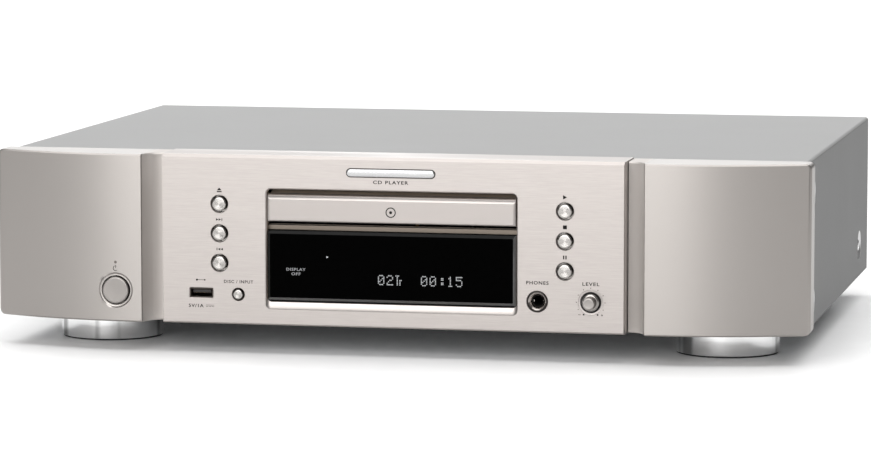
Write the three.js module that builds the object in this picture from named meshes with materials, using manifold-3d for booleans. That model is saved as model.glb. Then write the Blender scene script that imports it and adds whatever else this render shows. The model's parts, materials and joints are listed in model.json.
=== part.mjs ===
// Disc player with a front-loading drawer, in millimetres, +X to the right, +Y to the back, +Z up.
// The origin is on the ground under the middle of the whole player.
// Inside the cabinet group y runs back from the front panel's face and z up from its bottom edge.
import * as THREE from "three";
import { mergeVertices } from "three/addons/utils/BufferGeometryUtils.js";
import Module from "manifold-3d";

// ---- Driving dimensions ----
const FACE_Y = -163; // the central panel's face, in the part's frame
const FOOT_HEIGHT = 15.7;
const FOOT_RADIUS = 28;
const FOOT_X = 170;
const FRONT_FOOT_Y = 62;
const REAR_FOOT_Y = 275;

const HALF_WIDTH = 220;
const PANEL_HALF = 124.5; // central front panel
const PANEL_TOP = 90.3;
const PANEL_PLATE = 4;
const FRONT_DEPTH = 29; // panels' top surface, front to back
const END_TOP = 89.8; // end panels
const ARC_X = 140; // the end panels' shallow arc: its foremost point and its radius
const ARC_Y = -2.6;
const ARC_RADIUS = 178;
const RIDGE_X = 135.05;
const RIDGE_Y = arcY(RIDGE_X);
const COVE_DEPTH = 12.5;
const END_CORNER = 3;

const COVER_HALF = 215.9;
const COVER_TOP = 89.2;
const COVER_FRONT = 29.3;
const COVER_REAR = 325.1;
const SHEET = 1.2;
const REAR_PANEL = [322.6, 323.8];

const WINDOW_HALF = 67.4; // opening that holds the drawer and the display
const WINDOW_TOP = 72.5;
const WINDOW_BOTTOM = 9;
const WINDOW_BOTTOM_BACK = 12.6;
const WINDOW_CORNER = 2.5;
const DRAWER_HALF = 67;

const KEY_X = 93;
const KEY_ROWS = [64.04, 48.35, 32.55];
const KEY_RADIUS = 3.8;
const KEY_HOLE = 4.6;
const INPUT_AT = [-82.85, 16];
const INPUT_RADIUS = 2.6;
const INPUT_HOLE = 3.35;
const POWER_AT = [-149.7, 16.9];
const POWER_RADIUS = 7.2;
const USB_AT = [-103.1, 16.4];
const PHONES_AT = [78.4, 16.33];
const LEVEL_AT = [106.76, 16.54];

const SPINDLE_Y = 74;
const DISC_RECESS = 60.5;
const TRAY_TOP = 66;
const HINGE_Y = 162; // the traverse's hinge axis
const HINGE_Z = 52.5;
const TRAVERSE_DROP = 4; // degrees below level, where it rests while the drawer moves
const GEAR_AT = [38, 30];
const GEAR_TEETH = 16;
const MOTOR_X = 8;
const PULLEY_RADIUS = 11;
const MOTOR_PULLEY_RADIUS = 3;
const ROD_X = 24;
const SCREW_X = -29;

const ANALOG_X = [148, 172];
const COAXIAL_X = 120;
const OPTICAL_X = 98;
const REMOTE_X = [44, 60];
const SWITCH_X = 24;
const INLET_X = -170;
const JACK_Z = 30;
const JACK_END = 333.5;
const BOARD = [8, 9.6]; // bottom and top of the two main circuit boards

const wasm = await Module();
wasm.setup();

// ---- Materials ----
function finish(color, roughness, metalness) {
  return new THREE.MeshStandardMaterial({ color, roughness, metalness });
}
const champagne = finish(0xdad2ce, 0.35, 1);
const champagneEnd = finish(0xc4bbb2, 0.35, 1);
const coverPaint = finish(0xa8a7a5, 0.45, 0.3);
const plainSteel = finish(0x9a9b9c, 0.4, 1);
const polished = finish(0xd8d8d8, 0.15, 1);
const blackAcrylic = finish(0x050505, 0.05, 0);
const blackPlastic = finish(0x1a1a1a, 0.5, 0);
const beigePlastic = finish(0x8b7f72, 0.5, 0);
const greyPlastic = finish(0x4a4a4a, 0.5, 0);
const circuitGreen = finish(0x1f5a34, 0.5, 0);
const copper = finish(0xb87333, 0.35, 1);
const gold = finish(0xd9a93a, 0.2, 1);
const belt = finish(0x151515, 0.8, 0);

// ---- Solids ----
function solidOf(geometry) {
  const bare = geometry.index ? geometry.toNonIndexed() : geometry.clone();
  bare.deleteAttribute("normal");
  bare.deleteAttribute("uv");
  const merged = mergeVertices(bare, 1e-4);
  const corners = merged.index.array;
  const kept = [];
  for (let i = 0; i < corners.length; i += 3) {
    const [a, b, c] = [corners[i], corners[i + 1], corners[i + 2]];
    if (a !== b && b !== c && c !== a) kept.push(a, b, c);
  }
  const build = (list) =>
    new wasm.Manifold(
      new wasm.Mesh({
        numProp: 3,
        vertProperties: merged.attributes.position.array,
        triVerts: new Uint32Array(list),
      }),
    );
  const made = build(kept);
  return made.volume() < 0 ? build(kept.reverse()) : made;
}

function geometryOf(solid) {
  const mesh = solid.getMesh();
  const geometry = new THREE.BufferGeometry();
  geometry.setAttribute("position", new THREE.BufferAttribute(mesh.vertProperties, 3));
  geometry.setIndex(new THREE.BufferAttribute(mesh.triVerts, 1));
  geometry.computeVertexNormals();
  return geometry;
}

function box([x0, x1], [y0, y1], [z0, z1]) {
  const geometry = new THREE.BoxGeometry(x1 - x0, y1 - y0, z1 - z0);
  geometry.translate((x0 + x1) / 2, (y0 + y1) / 2, (z0 + z1) / 2);
  return solidOf(geometry);
}

// Turns a shape made about the y axis, or drawn in x and y, so that it runs along the named axis.
const FROM_Y = {
  x: new THREE.Matrix4().makeRotationZ(-Math.PI / 2),
  y: new THREE.Matrix4(),
  z: new THREE.Matrix4().makeRotationX(Math.PI / 2),
};

// A solid of revolution: profile points are [radius, distance along the axis].
function turned(profile, axis, [x, y, z], sides = 24) {
  const points = profile.map(([r, h]) => new THREE.Vector2(r, h));
  const geometry = new THREE.LatheGeometry(points, sides);
  geometry.applyMatrix4(FROM_Y[axis]);
  geometry.translate(x, y, z);
  return solidOf(geometry);
}

function rod(axis, at, [from, to], radius, sides = 20) {
  const profile = [[0, from], [radius, from], [radius, to], [0, to]];
  return turned(profile, axis, at, sides);
}

// A cylinder that stands at (x, y) between two heights.
function upright([x, y], heights, radius, sides = 16) {
  return rod("z", [x, y, 0], heights, radius, sides);
}

// A prism between two distances along an axis. Its outline is in (y, z), (x, z) or (x, y).
function prism(outline, axis, [from, to], curveSegments = 6) {
  const shape = outline instanceof THREE.Shape
    ? outline
    : new THREE.Shape(outline.map(([u, v]) => new THREE.Vector2(u, v)));
  const depth = to - from;
  const geometry = new THREE.ExtrudeGeometry(shape, {
    depth,
    curveSegments,
    bevelEnabled: false,
  });
  if (axis === "x") {
    geometry.applyMatrix4(new THREE.Matrix4().set(0, 0, 1, from, 1, 0, 0, 0, 0, 1, 0, 0, 0, 0, 0, 1));
  } else if (axis === "y") {
    geometry.rotateX(Math.PI / 2);
    geometry.translate(0, to, 0);
  } else {
    geometry.translate(0, 0, from);
  }
  return solidOf(geometry);
}

function roundedRectangle([u0, u1], [v0, v1], radius) {
  const shape = new THREE.Shape();
  shape.absarc(u1 - radius, v0 + radius, radius, -Math.PI / 2, 0, false);
  shape.absarc(u1 - radius, v1 - radius, radius, 0, Math.PI / 2, false);
  shape.absarc(u0 + radius, v1 - radius, radius, Math.PI / 2, Math.PI, false);
  shape.absarc(u0 + radius, v0 + radius, radius, Math.PI, 1.5 * Math.PI, false);
  shape.closePath();
  return shape;
}

function joined(first, ...rest) {
  return rest.reduce((sum, solid) => sum.add(solid), first);
}

function cut(first, ...rest) {
  return rest.reduce((left, solid) => left.subtract(solid), first);
}

function about(middle, half) {
  return [middle - half, middle + half];
}

function piece(group, name, solid, material, at = [0, 0, 0]) {
  const mesh = new THREE.Mesh(geometryOf(solid), material);
  mesh.name = name;
  mesh.position.set(...at);
  group.add(mesh);
  return mesh;
}

const player = new THREE.Group();
const cabinet = new THREE.Group();
cabinet.position.set(0, FACE_Y, FOOT_HEIGHT);
player.add(cabinet);

// ---- Front panels ----
function frontPanel() {
  const section = [
    [0.8, 0],
    [PANEL_PLATE, 0],
    [PANEL_PLATE, PANEL_TOP - 3],
    [FRONT_DEPTH, PANEL_TOP - 3],
    [FRONT_DEPTH, PANEL_TOP],
    [1.6, PANEL_TOP],
    [0, PANEL_TOP - 1.6],
    [0, 0.8],
  ];
  const through = [-1, PANEL_PLATE + 1];
  const slope = (WINDOW_BOTTOM_BACK - WINDOW_BOTTOM) / PANEL_PLATE;
  const sill = [
    [-0.5, WINDOW_BOTTOM - 0.5 * slope],
    [PANEL_PLATE + 0.5, WINDOW_BOTTOM_BACK + 0.5 * slope],
    [PANEL_PLATE + 0.5, WINDOW_BOTTOM + 8],
    [-0.5, WINDOW_BOTTOM + 8],
  ];
  const windowShape = roundedRectangle(
    [-WINDOW_HALF, WINDOW_HALF],
    [WINDOW_BOTTOM_BACK, WINDOW_TOP],
    WINDOW_CORNER,
  );
  let panel = prism(section, "x", [-PANEL_HALF, PANEL_HALF]);
  for (const side of [-1, 1]) {
    const across = [side * PANEL_HALF, side * (PANEL_HALF - 3)].sort((a, b) => a - b);
    panel = panel.add(box(across, [PANEL_PLATE - 0.5, 14], [0.8, PANEL_TOP - 2]));
  }
  panel = cut(
    panel,
    prism(windowShape, "y", through),
    prism(sill, "x", [-WINDOW_HALF, WINDOW_HALF]),
    rod("y", [INPUT_AT[0], 0, INPUT_AT[1]], through, INPUT_HOLE),
    prism(roundedRectangle(about(USB_AT[0], 6.42), about(USB_AT[1], 2.62), 0.6), "y", through, 2),
    rod("y", [PHONES_AT[0], 0, PHONES_AT[1]], through, 5.6),
    turned([[0, -0.5], [6.9, -0.5], [5.5, 0.9], [5.5, 5], [0, 5]], "y", [LEVEL_AT[0], 0, LEVEL_AT[1]]),
  );
  for (const z of KEY_ROWS) {
    for (const x of [-KEY_X, KEY_X]) panel = panel.subtract(rod("y", [x, 0, z], through, KEY_HOLE));
  }
  return panel;
}

function arcY(x) {
  return ARC_Y + (x - ARC_X) ** 2 / (2 * ARC_RADIUS);
}

// Plan of an end panel for the right side: a hollow cove from the central panel out to the ridge,
// then a shallow arc back to the outer edge.
function endOutline() {
  const coveX = PANEL_HALF + 0.4;
  const coveWidth = RIDGE_X - coveX;
  const points = [[coveX, FRONT_DEPTH]];
  for (let i = 0; i <= 8; i++) {
    const angle = ((8 - i) / 8) * (Math.PI / 2);
    points.push([coveX + coveWidth * Math.cos(angle), RIDGE_Y + COVE_DEPTH * Math.sin(angle)]);
  }
  for (let i = 1; i <= 12; i++) {
    const x = RIDGE_X + (i / 12) * (HALF_WIDTH - RIDGE_X);
    points.push([x, arcY(x)]);
  }
  points.push([HALF_WIDTH, FRONT_DEPTH]);
  return points;
}

function endPanel(side) {
  const mirrored = (points) => points.map(([x, y]) => [side * x, y]);
  const pocket = [[133, 14], [142, 5], [165, 5], [185, 8], [205, 14], [215.5, 19], [215.5, 31], [133, 31]];
  const width = [100 * side, HALF_WIDTH * side].sort((a, b) => a - b);
  const front = roundedRectangle(width, [0, END_TOP], END_CORNER);
  const whole = prism(mirrored(endOutline()), "z", [0, END_TOP]);
  return whole.intersect(prism(front, "y", [-10, 40])).subtract(prism(mirrored(pocket), "z", [4.5, 85.5]));
}

function leftEndPanel() {
  const at = [POWER_AT[0], 0, POWER_AT[1]];
  const hole = turned([[0, -6], [9.45, -6], [9.45, -1.6], [7.75, -1.6], [7.75, 8], [0, 8]], "y", at);
  const lightHole = rod("y", [POWER_AT[0], 0, POWER_AT[1] + 15], [-6, 8], 0.95, 12);
  return cut(endPanel(-1), hole, lightHole);
}

piece(cabinet, "front_panel", frontPanel(), champagne);
piece(cabinet, "left_end_panel", leftEndPanel(), champagneEnd);
piece(cabinet, "right_end_panel", endPanel(1), champagneEnd);

const nameBar = prism(roundedRectangle([-23.7, 23.7], [-2.1, 2.1], 2), "y", [-0.9, -0.05], 4);
piece(cabinet, "name_bar", nameBar, polished, [0, 0, 82]);

// ---- Case ----
function topCover() {
  const outer = box([-COVER_HALF, COVER_HALF], [COVER_FRONT, COVER_REAR], [0, COVER_TOP]);
  const innerHalf = COVER_HALF - SHEET;
  return outer.subtract(box([-innerHalf, innerHalf], [0, 400], [-1, COVER_TOP - SHEET]));
}

function baseChassis() {
  const half = COVER_HALF - SHEET - 0.3;
  const floor = box([-half, half], [30.2, REAR_PANEL[0] - 0.2], [0.05, 1.55]);
  const tongue = box([-PANEL_HALF + 3.5, PANEL_HALF - 3.5], [PANEL_PLATE + 0.5, 32], [0.05, 1.55]);
  let chassis = floor.add(tongue);
  for (const side of [-1, 1]) {
    const ear = [side * 126, side * half].sort((a, b) => a - b);
    const lip = [side * (half - SHEET), side * half].sort((a, b) => a - b);
    chassis = joined(
      chassis,
      box(ear, [30.2, 31.4], [0.05, 87]),
      box(lip, [30.2, REAR_PANEL[0] - 0.2], [0.05, 12]),
    );
  }
  return chassis;
}

function rearPanel() {
  const half = COVER_HALF - SHEET - 0.3;
  const through = [REAR_PANEL[0] - 1, REAR_PANEL[1] + 1];
  let panel = box([-half, half], REAR_PANEL, [0.4, COVER_TOP - SHEET - 0.4]);
  for (const x of [...ANALOG_X, COAXIAL_X]) {
    panel = panel.subtract(rod("y", [x, 0, JACK_Z], through, 5));
  }
  for (const x of REMOTE_X) panel = panel.subtract(rod("y", [x, 0, JACK_Z - 5], through, 4.4));
  return cut(
    panel,
    box(about(OPTICAL_X, 5.4), through, about(JACK_Z, 5.4)),
    box(about(SWITCH_X, 5), through, about(JACK_Z - 5, 2)),
    box(about(INLET_X, 14.4), through, about(JACK_Z, 10.9)),
  );
}

function foot() {
  const profile = [[0, 0], [27, 0], [FOOT_RADIUS, -1], [FOOT_RADIUS, -13.7]];
  profile.push([27, -14.7], [25, -14.7], [25, -FOOT_HEIGHT], [0, -FOOT_HEIGHT]);
  return turned(profile, "z", [0, 0, 0]);
}

piece(cabinet, "top_cover", topCover(), coverPaint);
piece(cabinet, "base_chassis", baseChassis(), plainSteel);
piece(cabinet, "rear_panel", rearPanel(), blackPlastic);
for (const [name, x, y] of [
  ["front_left_foot", -FOOT_X, FRONT_FOOT_Y],
  ["front_right_foot", FOOT_X, FRONT_FOOT_Y],
  ["rear_left_foot", -FOOT_X, REAR_FOOT_Y],
  ["rear_right_foot", FOOT_X, REAR_FOOT_Y],
]) {
  piece(cabinet, name, foot(), polished, [x, y, 0]);
}

// ---- Behind the front panel ----
function frontSubframe() {
  const through = [8, 13];
  let plate = joined(
    box([-120.5, 120.5], [9, 12], [2, 86.5]),
    box([-69.5, 69.5], [5, 9.5], [50.8, 53]),
  );
  plate = cut(
    plate,
    box([-68, 68], through, [53.3, 73.8]),
    rod("y", [INPUT_AT[0], 0, INPUT_AT[1]], through, 2.2, 16),
    box(about(USB_AT[0], 7.5), through, about(USB_AT[1], 4)),
    box(about(PHONES_AT[0], 7.2), through, about(PHONES_AT[1], 7.2)),
    rod("y", [LEVEL_AT[0], 0, LEVEL_AT[1]], through, 5.4),
  );
  for (const z of KEY_ROWS) {
    for (const x of [-KEY_X, KEY_X]) plate = plate.subtract(rod("y", [x, 0, z], through, 2.2, 16));
  }
  return plate;
}

function displayWindow() {
  const bevel = 1.5;
  const across = (inset) => [-DRAWER_HALF + inset, DRAWER_HALF - inset];
  const rim = box(across(0), [bevel, 4.8], [13.4, 50.4]);
  const face = box(across(bevel), [0, bevel + 0.5], [13.4 + bevel, 50.4 - bevel]);
  const flange = box([-71, 71], [4.6, 5.6], [10, 50.4]);
  return rim.add(face).hull().add(flange);
}

function button(radius, front, flangeRadius, flangeY, stemRadius, end) {
  const bevel = 0.4;
  return turned(
    [
      [0, front],
      [radius - bevel, front],
      [radius, front + bevel],
      [radius, flangeY],
      [flangeRadius, flangeY],
      [flangeRadius, flangeY + 1.2],
      [stemRadius, flangeY + 1.2],
      [stemRadius, end],
      [0, end],
    ],
    "y",
    [0, 0, 0],
    16,
  );
}

piece(cabinet, "front_subframe", frontSubframe(), beigePlastic);
piece(cabinet, "display_window", displayWindow(), blackAcrylic);
piece(cabinet, "display_module", box([-60, 60], [5.9, 8.7], [15, 48]), circuitGreen);

const keyNames = [
  ["eject_button", "next_button", "previous_button"],
  ["play_button", "stop_button", "pause_button"],
];
keyNames.forEach((column, i) => {
  const x = i === 0 ? -KEY_X : KEY_X;
  column.forEach((name, row) => {
    piece(cabinet, name, button(KEY_RADIUS, -1.3, 5.2, 5, 1.6, 14.2), champagne, [x, 0, KEY_ROWS[row]]);
  });
});
const inputButton = button(INPUT_RADIUS, -1, 4.2, 5, 1.4, 14.2);
piece(cabinet, "input_button", inputButton, champagne, [INPUT_AT[0], 0, INPUT_AT[1]]);
const powerButton = button(POWER_RADIUS, -3.4, 9, 8, 2.5, 12.6);
piece(cabinet, "power_button", powerButton, champagne, [POWER_AT[0], 0, POWER_AT[1]]);
const powerSwitch = box([-7.5, 7.5], [15, 28.5], [-7, 7]);
piece(cabinet, "power_switch", powerSwitch, blackPlastic, [POWER_AT[0], 0, POWER_AT[1]]);

function usbSocket() {
  const sleeve = box([-6.1, 6.1], [0.3, 19], [-2.35, 2.35]);
  const mouth = box([-5.7, 5.7], [-1, 17], [-1.95, 1.95]);
  const tongue = box([-4.6, 4.6], [1.6, 17.5], [-0.2, 1.6]);
  const body = box([-6.8, 6.8], [5.2, 19], [-3.2, 3.2]);
  return joined(cut(joined(sleeve, body), mouth), tongue);
}

function phonesJack() {
  const ring = turned([[0, -0.6], [5.2, -0.6], [5.45, -0.3], [5.45, 5], [0, 5]], "y", [0, 0, 0]);
  const body = box([-6.5, 6.5], [4.6, 36], [-6.5, 6.5]);
  return joined(ring, body).subtract(rod("y", [0, 0, 0], [-2, 34], 3.2));
}

piece(cabinet, "usb_socket", usbSocket(), plainSteel, [USB_AT[0], 0, USB_AT[1]]);
piece(cabinet, "phones_jack", phonesJack(), polished, [PHONES_AT[0], 0, PHONES_AT[1]]);

const knobProfile = [[0, -7.5], [2.85, -7.5], [3.15, -7.2], [3.15, -0.5], [4.65, -0.3]];
knobProfile.push([4.65, 2], [3.7, 2], [3.7, 7], [1.75, 7], [1.75, -5], [0, -5]);
const levelAt = [LEVEL_AT[0], 0, LEVEL_AT[1]];
piece(cabinet, "level_knob", turned(knobProfile, "y", [0, 0, 0]), polished, levelAt);
piece(cabinet, "level_shaft", rod("y", [0, 0, 0], [-4.7, 12.2], 1.65, 16), plainSteel, levelAt);
piece(cabinet, "level_control", box([-6.5, 6.5], [12.4, 18.8], [-6.5, 6.5]), greyPlastic, levelAt);

// A key board carries one tact switch behind each button stem.
function keyBoard(across, switches, notches) {
  let board = box(across, [19, 20.6], [6, 80]);
  for (const [x, z] of switches) {
    board = joined(
      board,
      box(about(x, 3), [16, 19.2], about(z, 3)),
      rod("y", [x, 0, z], [15.2, 16.5], 1.5, 12),
    );
  }
  return cut(board, ...notches);
}

const leftSwitches = KEY_ROWS.map((z) => [-KEY_X, z]).concat([INPUT_AT]);
const usbNotch = box(about(USB_AT[0], 7.4), [15, 22], [0, USB_AT[1] + 4]);
const rightSwitches = KEY_ROWS.map((z) => [KEY_X, z]);
const phonesNotch = box([73, PHONES_AT[0] + 7], [15, 22], [0, PHONES_AT[1] + 7]);
piece(cabinet, "left_key_board", keyBoard([-119, -74], leftSwitches, [usbNotch]), circuitGreen);
piece(cabinet, "right_key_board", keyBoard([74, 119], rightSwitches, [phonesNotch]), circuitGreen);

// ---- Disc drawer ----
const RACK_PITCH_X = GEAR_AT[0] + GEAR_TEETH / 2;
const BACKLASH = 0.16;
const PRESSURE = THREE.MathUtils.degToRad(20);

// The module-1 rack, whose teeth face -X and have one tooth opposite the gear's centre.
function rack() {
  const half = Math.PI / 4 - BACKLASH / 2;
  const tip = half - Math.tan(PRESSURE);
  const root = half + 1.3 * Math.tan(PRESSURE);
  const outline = [[50.5, 17.5], [50.5, 170]];
  for (let k = 44; k >= -3; k--) {
    const y = GEAR_AT[1] + k * Math.PI;
    outline.push([RACK_PITCH_X + 1.3, y + root], [RACK_PITCH_X - 1, y + tip]);
    outline.push([RACK_PITCH_X - 1, y - tip], [RACK_PITCH_X + 1.3, y - root]);
  }
  return prism(outline, "z", [57.2, 62]);
}

function discTray() {
  const plate = box([-64.5, 64.5], [5.3, 171], [61.5, TRAY_TOP]);
  const rails = [-1, 1].map((side) => {
    const across = [side * 61, side * 64.5].sort((a, b) => a - b);
    return box(across, [5.3, 171], [57.5, 62]);
  });
  const centre = [0, SPINDLE_Y, 0];
  const recess = [[0, 62.9], [40.5, 62.9], [40.5, 63.8], [DISC_RECESS, 63.8], [DISC_RECESS, 67], [0, 67]];
  return cut(
    joined(plate, ...rails, rack()),
    turned(recess, "z", centre, 48),
    rod("z", centre, [50, 70], 22, 32),
    box([-18, 18], [SPINDLE_Y, 142], [55, 70]),
  );
}

function drawerFront() {
  const section = [[0, 55.8], [0, 67.2], [3, 70.2], [5, 70.2], [5, 55.4], [0.4, 55.4]];
  return prism(section, "x", [-DRAWER_HALF, DRAWER_HALF]);
}

piece(cabinet, "disc_tray", discTray(), blackPlastic);
piece(cabinet, "drawer_front", drawerFront(), champagne);

// ---- Loader ----
function loaderFrame() {
  let frame = cut(
    box([-72, 72], [14, 176], [48, 50]),
    box([-43.5, 43.5], [48, 168], [47, 51]),
    rod("z", [MOTOR_X, GEAR_AT[1], 0], [40, 60], 2.2, 16),
  );
  for (const side of [-1, 1]) {
    const wall = [side * 70, side * 72].sort((a, b) => a - b);
    const ledge = [side * 60.6, side * 70.5].sort((a, b) => a - b);
    const block = [side * 44.2, side * 49].sort((a, b) => a - b);
    frame = joined(
      frame,
      box(wall, [14, 176], [49, 70.2]),
      box(ledge, [14, 176], [54.8, 57.2]),
      box(block, [157, 168], [44, 55.5]),
    );
  }
  frame = joined(
    frame,
    box([-71, 71], [174, 176], [49, 70.2]),
    rod("z", [...GEAR_AT, 0], [49, 60.5], 1.5, 16),
  );
  return frame.subtract(rod("x", [0, HINGE_Y, HINGE_Z], [-50, 50], 2.1, 16));
}

function clampBridge() {
  const strap = box([-71.5, 71.5], [SPINDLE_Y - 21, SPINDLE_Y + 21], [70.4, 72.4]);
  return strap.subtract(rod("z", [0, SPINDLE_Y, 0], [60, 80], 14, 32));
}

function clampPuck() {
  const profile = [[0, 69.5], [5.5, 69.5], [5.5, 67.4], [12.8, 67.4], [12.8, 72.6]];
  profile.push([17, 72.6], [17, 74.2], [0, 74.2]);
  return turned(profile.map(([r, z]) => [r, z - TRAY_TOP]), "z", [0, 0, 0]);
}

// Involute teeth, with a gap opposite the rack.
function toothOutline() {
  const pitch = GEAR_TEETH / 2;
  const base = pitch * Math.cos(PRESSURE);
  const involute = (angle) => Math.tan(angle) - angle;
  const halfAtPitch = (Math.PI / 2 - BACKLASH) / GEAR_TEETH;
  const halfAt = (r) => halfAtPitch + involute(PRESSURE) - (r > base ? involute(Math.acos(base / r)) : 0);
  const radii = [pitch - 1.25, base, pitch, pitch + 0.95];
  const outline = [];
  for (let tooth = 0; tooth < GEAR_TEETH; tooth++) {
    const middle = ((tooth + 0.5) * 2 * Math.PI) / GEAR_TEETH;
    const flank = (r, side) => [
      r * Math.cos(middle + side * halfAt(r)),
      r * Math.sin(middle + side * halfAt(r)),
    ];
    for (const r of radii) outline.push(flank(r, -1));
    for (const r of [...radii].reverse()) outline.push(flank(r, 1));
  }
  return outline;
}

function driveGear() {
  const gear = prism(toothOutline(), "z", [57.4, 61]);
  const pulley = upright([0, 0], [54.6, 56.8], PULLEY_RADIUS, 24);
  return joined(gear, pulley, upright([0, 0], [54.6, 57.6], 5)).subtract(upright([0, 0], [50, 65], 1.6));
}

function driveBelt() {
  const reach = GEAR_AT[0] - MOTOR_X;
  const lean = Math.acos((PULLEY_RADIUS - MOTOR_PULLEY_RADIUS) / reach);
  const loop = (shape, extra) => {
    shape.absarc(...GEAR_AT, PULLEY_RADIUS + extra, Math.PI + lean, 3 * Math.PI - lean, false);
    shape.absarc(MOTOR_X, GEAR_AT[1], MOTOR_PULLEY_RADIUS + extra, Math.PI - lean, Math.PI + lean, false);
    shape.closePath();
    return shape;
  };
  const outline = loop(new THREE.Shape(), 1.2);
  outline.holes.push(loop(new THREE.Path(), 0.2));
  return prism(outline, "z", [55, 56.2], 10);
}

piece(cabinet, "loader_frame", loaderFrame(), blackPlastic);
piece(cabinet, "clamp_bridge", clampBridge(), plainSteel);
piece(cabinet, "clamp_puck", clampPuck(), blackPlastic, [0, SPINDLE_Y, TRAY_TOP]);
piece(cabinet, "drive_gear", driveGear(), greyPlastic, [...GEAR_AT, 0]);
const loadingMotor = upright([0, 0], [36, 47.8], 10, 24);
piece(cabinet, "loading_motor", loadingMotor, plainSteel, [MOTOR_X, GEAR_AT[1], 0]);
const motorShaft = upright([0, 0], [47.9, 55], 1, 12);
const motorPulley = motorShaft.add(upright([0, 0], [54.6, 56.8], MOTOR_PULLEY_RADIUS));
piece(cabinet, "motor_pulley", motorPulley, copper, [MOTOR_X, GEAR_AT[1], 0]);
piece(cabinet, "drive_belt", driveBelt(), belt);

// ---- Traverse, which hangs on its rear hinge and is drawn raised, then lowered to its rest ----
const traverse = new THREE.Group();
traverse.position.set(0, HINGE_Y, HINGE_Z);
traverse.rotation.x = THREE.MathUtils.degToRad(TRAVERSE_DROP);
const raised = new THREE.Group();
raised.position.set(0, -HINGE_Y, -HINGE_Z);
cabinet.add(traverse);
traverse.add(raised);

const SLED_Y = [89, 113];
const LENS_Y = SPINDLE_Y + 25;
const ROD_Z = 53.2;
const SCREW_Z = 50;

function traverseFrame() {
  const plate = joined(
    box([-40, 40], [52, 158], [56, 58]),
    box([-40, 40], [154.5, 165], [50, 56.5]),
  );
  const mounts = [-ROD_X, ROD_X].flatMap((x) => [
    box(about(x, 3), [84.5, 88], [51, 56.5]),
    box(about(x, 3), [150.5, 155], [51, 56.5]),
  ]);
  const bearing = box(about(SCREW_X, 3), [151, 155], [46.5, 56.5]);
  return cut(
    joined(plate, ...mounts, bearing, rod("x", [0, HINGE_Y, HINGE_Z], [-48, 48], 2, 16)),
    box([-20.5, 20.5], [88.5, 150], [40, 70]),
    upright([0, SPINDLE_Y], [50, 60], 3),
    ...[-ROD_X, ROD_X].map((x) => rod("y", [x, 0, ROD_Z], [86, 153], 1.65, 12)),
    rod("y", [SCREW_X, 0, SCREW_Z], [86, 153], 1.65, 12),
  );
}

function laserSled() {
  const body = joined(
    box([-19, 19], SLED_Y, [51, 60]),
    box([-28, 28], SLED_Y, [51, 55.4]),
    box([-32, -18], [96, 106], [47, 54]),
  );
  return cut(
    body,
    ...[-ROD_X, ROD_X].map((x) => rod("y", [x, 0, ROD_Z], [80, 120], 1.6, 12)),
    rod("y", [SCREW_X, 0, SCREW_Z], [80, 120], 1.6, 12),
  );
}

function objectiveLens() {
  const holder = box([-5.5, 5.5], [-5, 5], [60.7, 62.4]);
  const dome = [[0, 62.2], [2.6, 62.2], [2.6, 62.6], [2, 63], [1, 63.2], [0, 63.25]];
  return holder.add(turned(dome, "z", [0, 0, 0], 16));
}

function turntable() {
  const profile = [[0, 56.4], [1.3, 56.4], [1.3, 58.5], [5, 58.5], [5, 62.5], [14, 62.5]];
  profile.push([14, 65], [7.4, 65], [7.4, 65.8], [5.4, 67], [0, 67]);
  return turned(profile, "z", [0, 0, 0]);
}

piece(raised, "traverse_frame", traverseFrame(), blackPlastic);
piece(raised, "spindle_motor", upright([0, 0], [45.5, 55.8], 12.5, 24), plainSteel, [0, SPINDLE_Y, 0]);
piece(raised, "turntable", turntable(), blackPlastic, [0, SPINDLE_Y, 0]);
piece(raised, "laser_sled", laserSled(), greyPlastic);
piece(raised, "objective_lens", objectiveLens(), blackAcrylic, [0, LENS_Y, 0]);
const guideRod = rod("y", [0, 0, 0], [86.2, 152.8], 1.5, 12);
piece(raised, "left_guide_rod", guideRod, polished, [-ROD_X, 0, ROD_Z]);
piece(raised, "right_guide_rod", guideRod, polished, [ROD_X, 0, ROD_Z]);
piece(raised, "lead_screw", rod("y", [0, 0, 0], [84.6, 152.8], 1.5, 12), polished, [SCREW_X, 0, SCREW_Z]);
piece(raised, "feed_motor", rod("y", [0, 0, 0], [58, 84], 5.8, 20), plainSteel, [SCREW_X, 0, SCREW_Z]);

// ---- Electronics ----
function powerTransformer() {
  return joined(
    box([-33, 33], [-28, 28], [6, 62]),
    box([-20, 20], [-37, 37], [13, 55]),
    box([-33, 33], [-36, 36], [1.8, 6.2]),
  );
}

function circuitBoard(across, along, parts) {
  const legs = across.flatMap((x, i) =>
    along.map((y, j) => upright([x + (i ? -6 : 6), y + (j ? -6 : 6)], [1.7, 8.5], 3, 10)),
  );
  return joined(box(across, along, BOARD), ...legs, ...parts);
}

function capacitor(x, y, radius, height, sides = 16) {
  return upright([x, y], [BOARD[1] - 0.3, BOARD[1] + height], radius, sides);
}

function powerBoard() {
  const parts = [
    capacitor(-180, 200, 9, 34),
    capacitor(-158, 200, 9, 34),
    capacitor(-180, 224, 7, 26),
    capacitor(-160, 224, 7, 26),
    box([-140, -118], [184, 212], [9, 34]),
    box([-200, -180], [262, 292], [9, 26]),
    box([-142, -126], [262, 290], [9, 24]),
  ];
  return circuitBoard([-208, -90], [170, 298], parts);
}

function mainBoard() {
  const parts = [
    box([0, 24], [212, 236], [9, 11.6]),
    box([50, 64], [220, 234], [9, 11.6]),
    box([110, 124], [214, 226], [9, 11.6]),
    box([140, 154], [214, 226], [9, 11.6]),
    box([-60, -40], [196, 230], [9, 20]),
  ];
  for (const x of [90, 104, 164, 178]) {
    for (const y of [244, 262]) parts.push(capacitor(x, y, 5, 16, 12));
  }
  return circuitBoard([-70, 205], [186, 300], parts);
}

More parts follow.
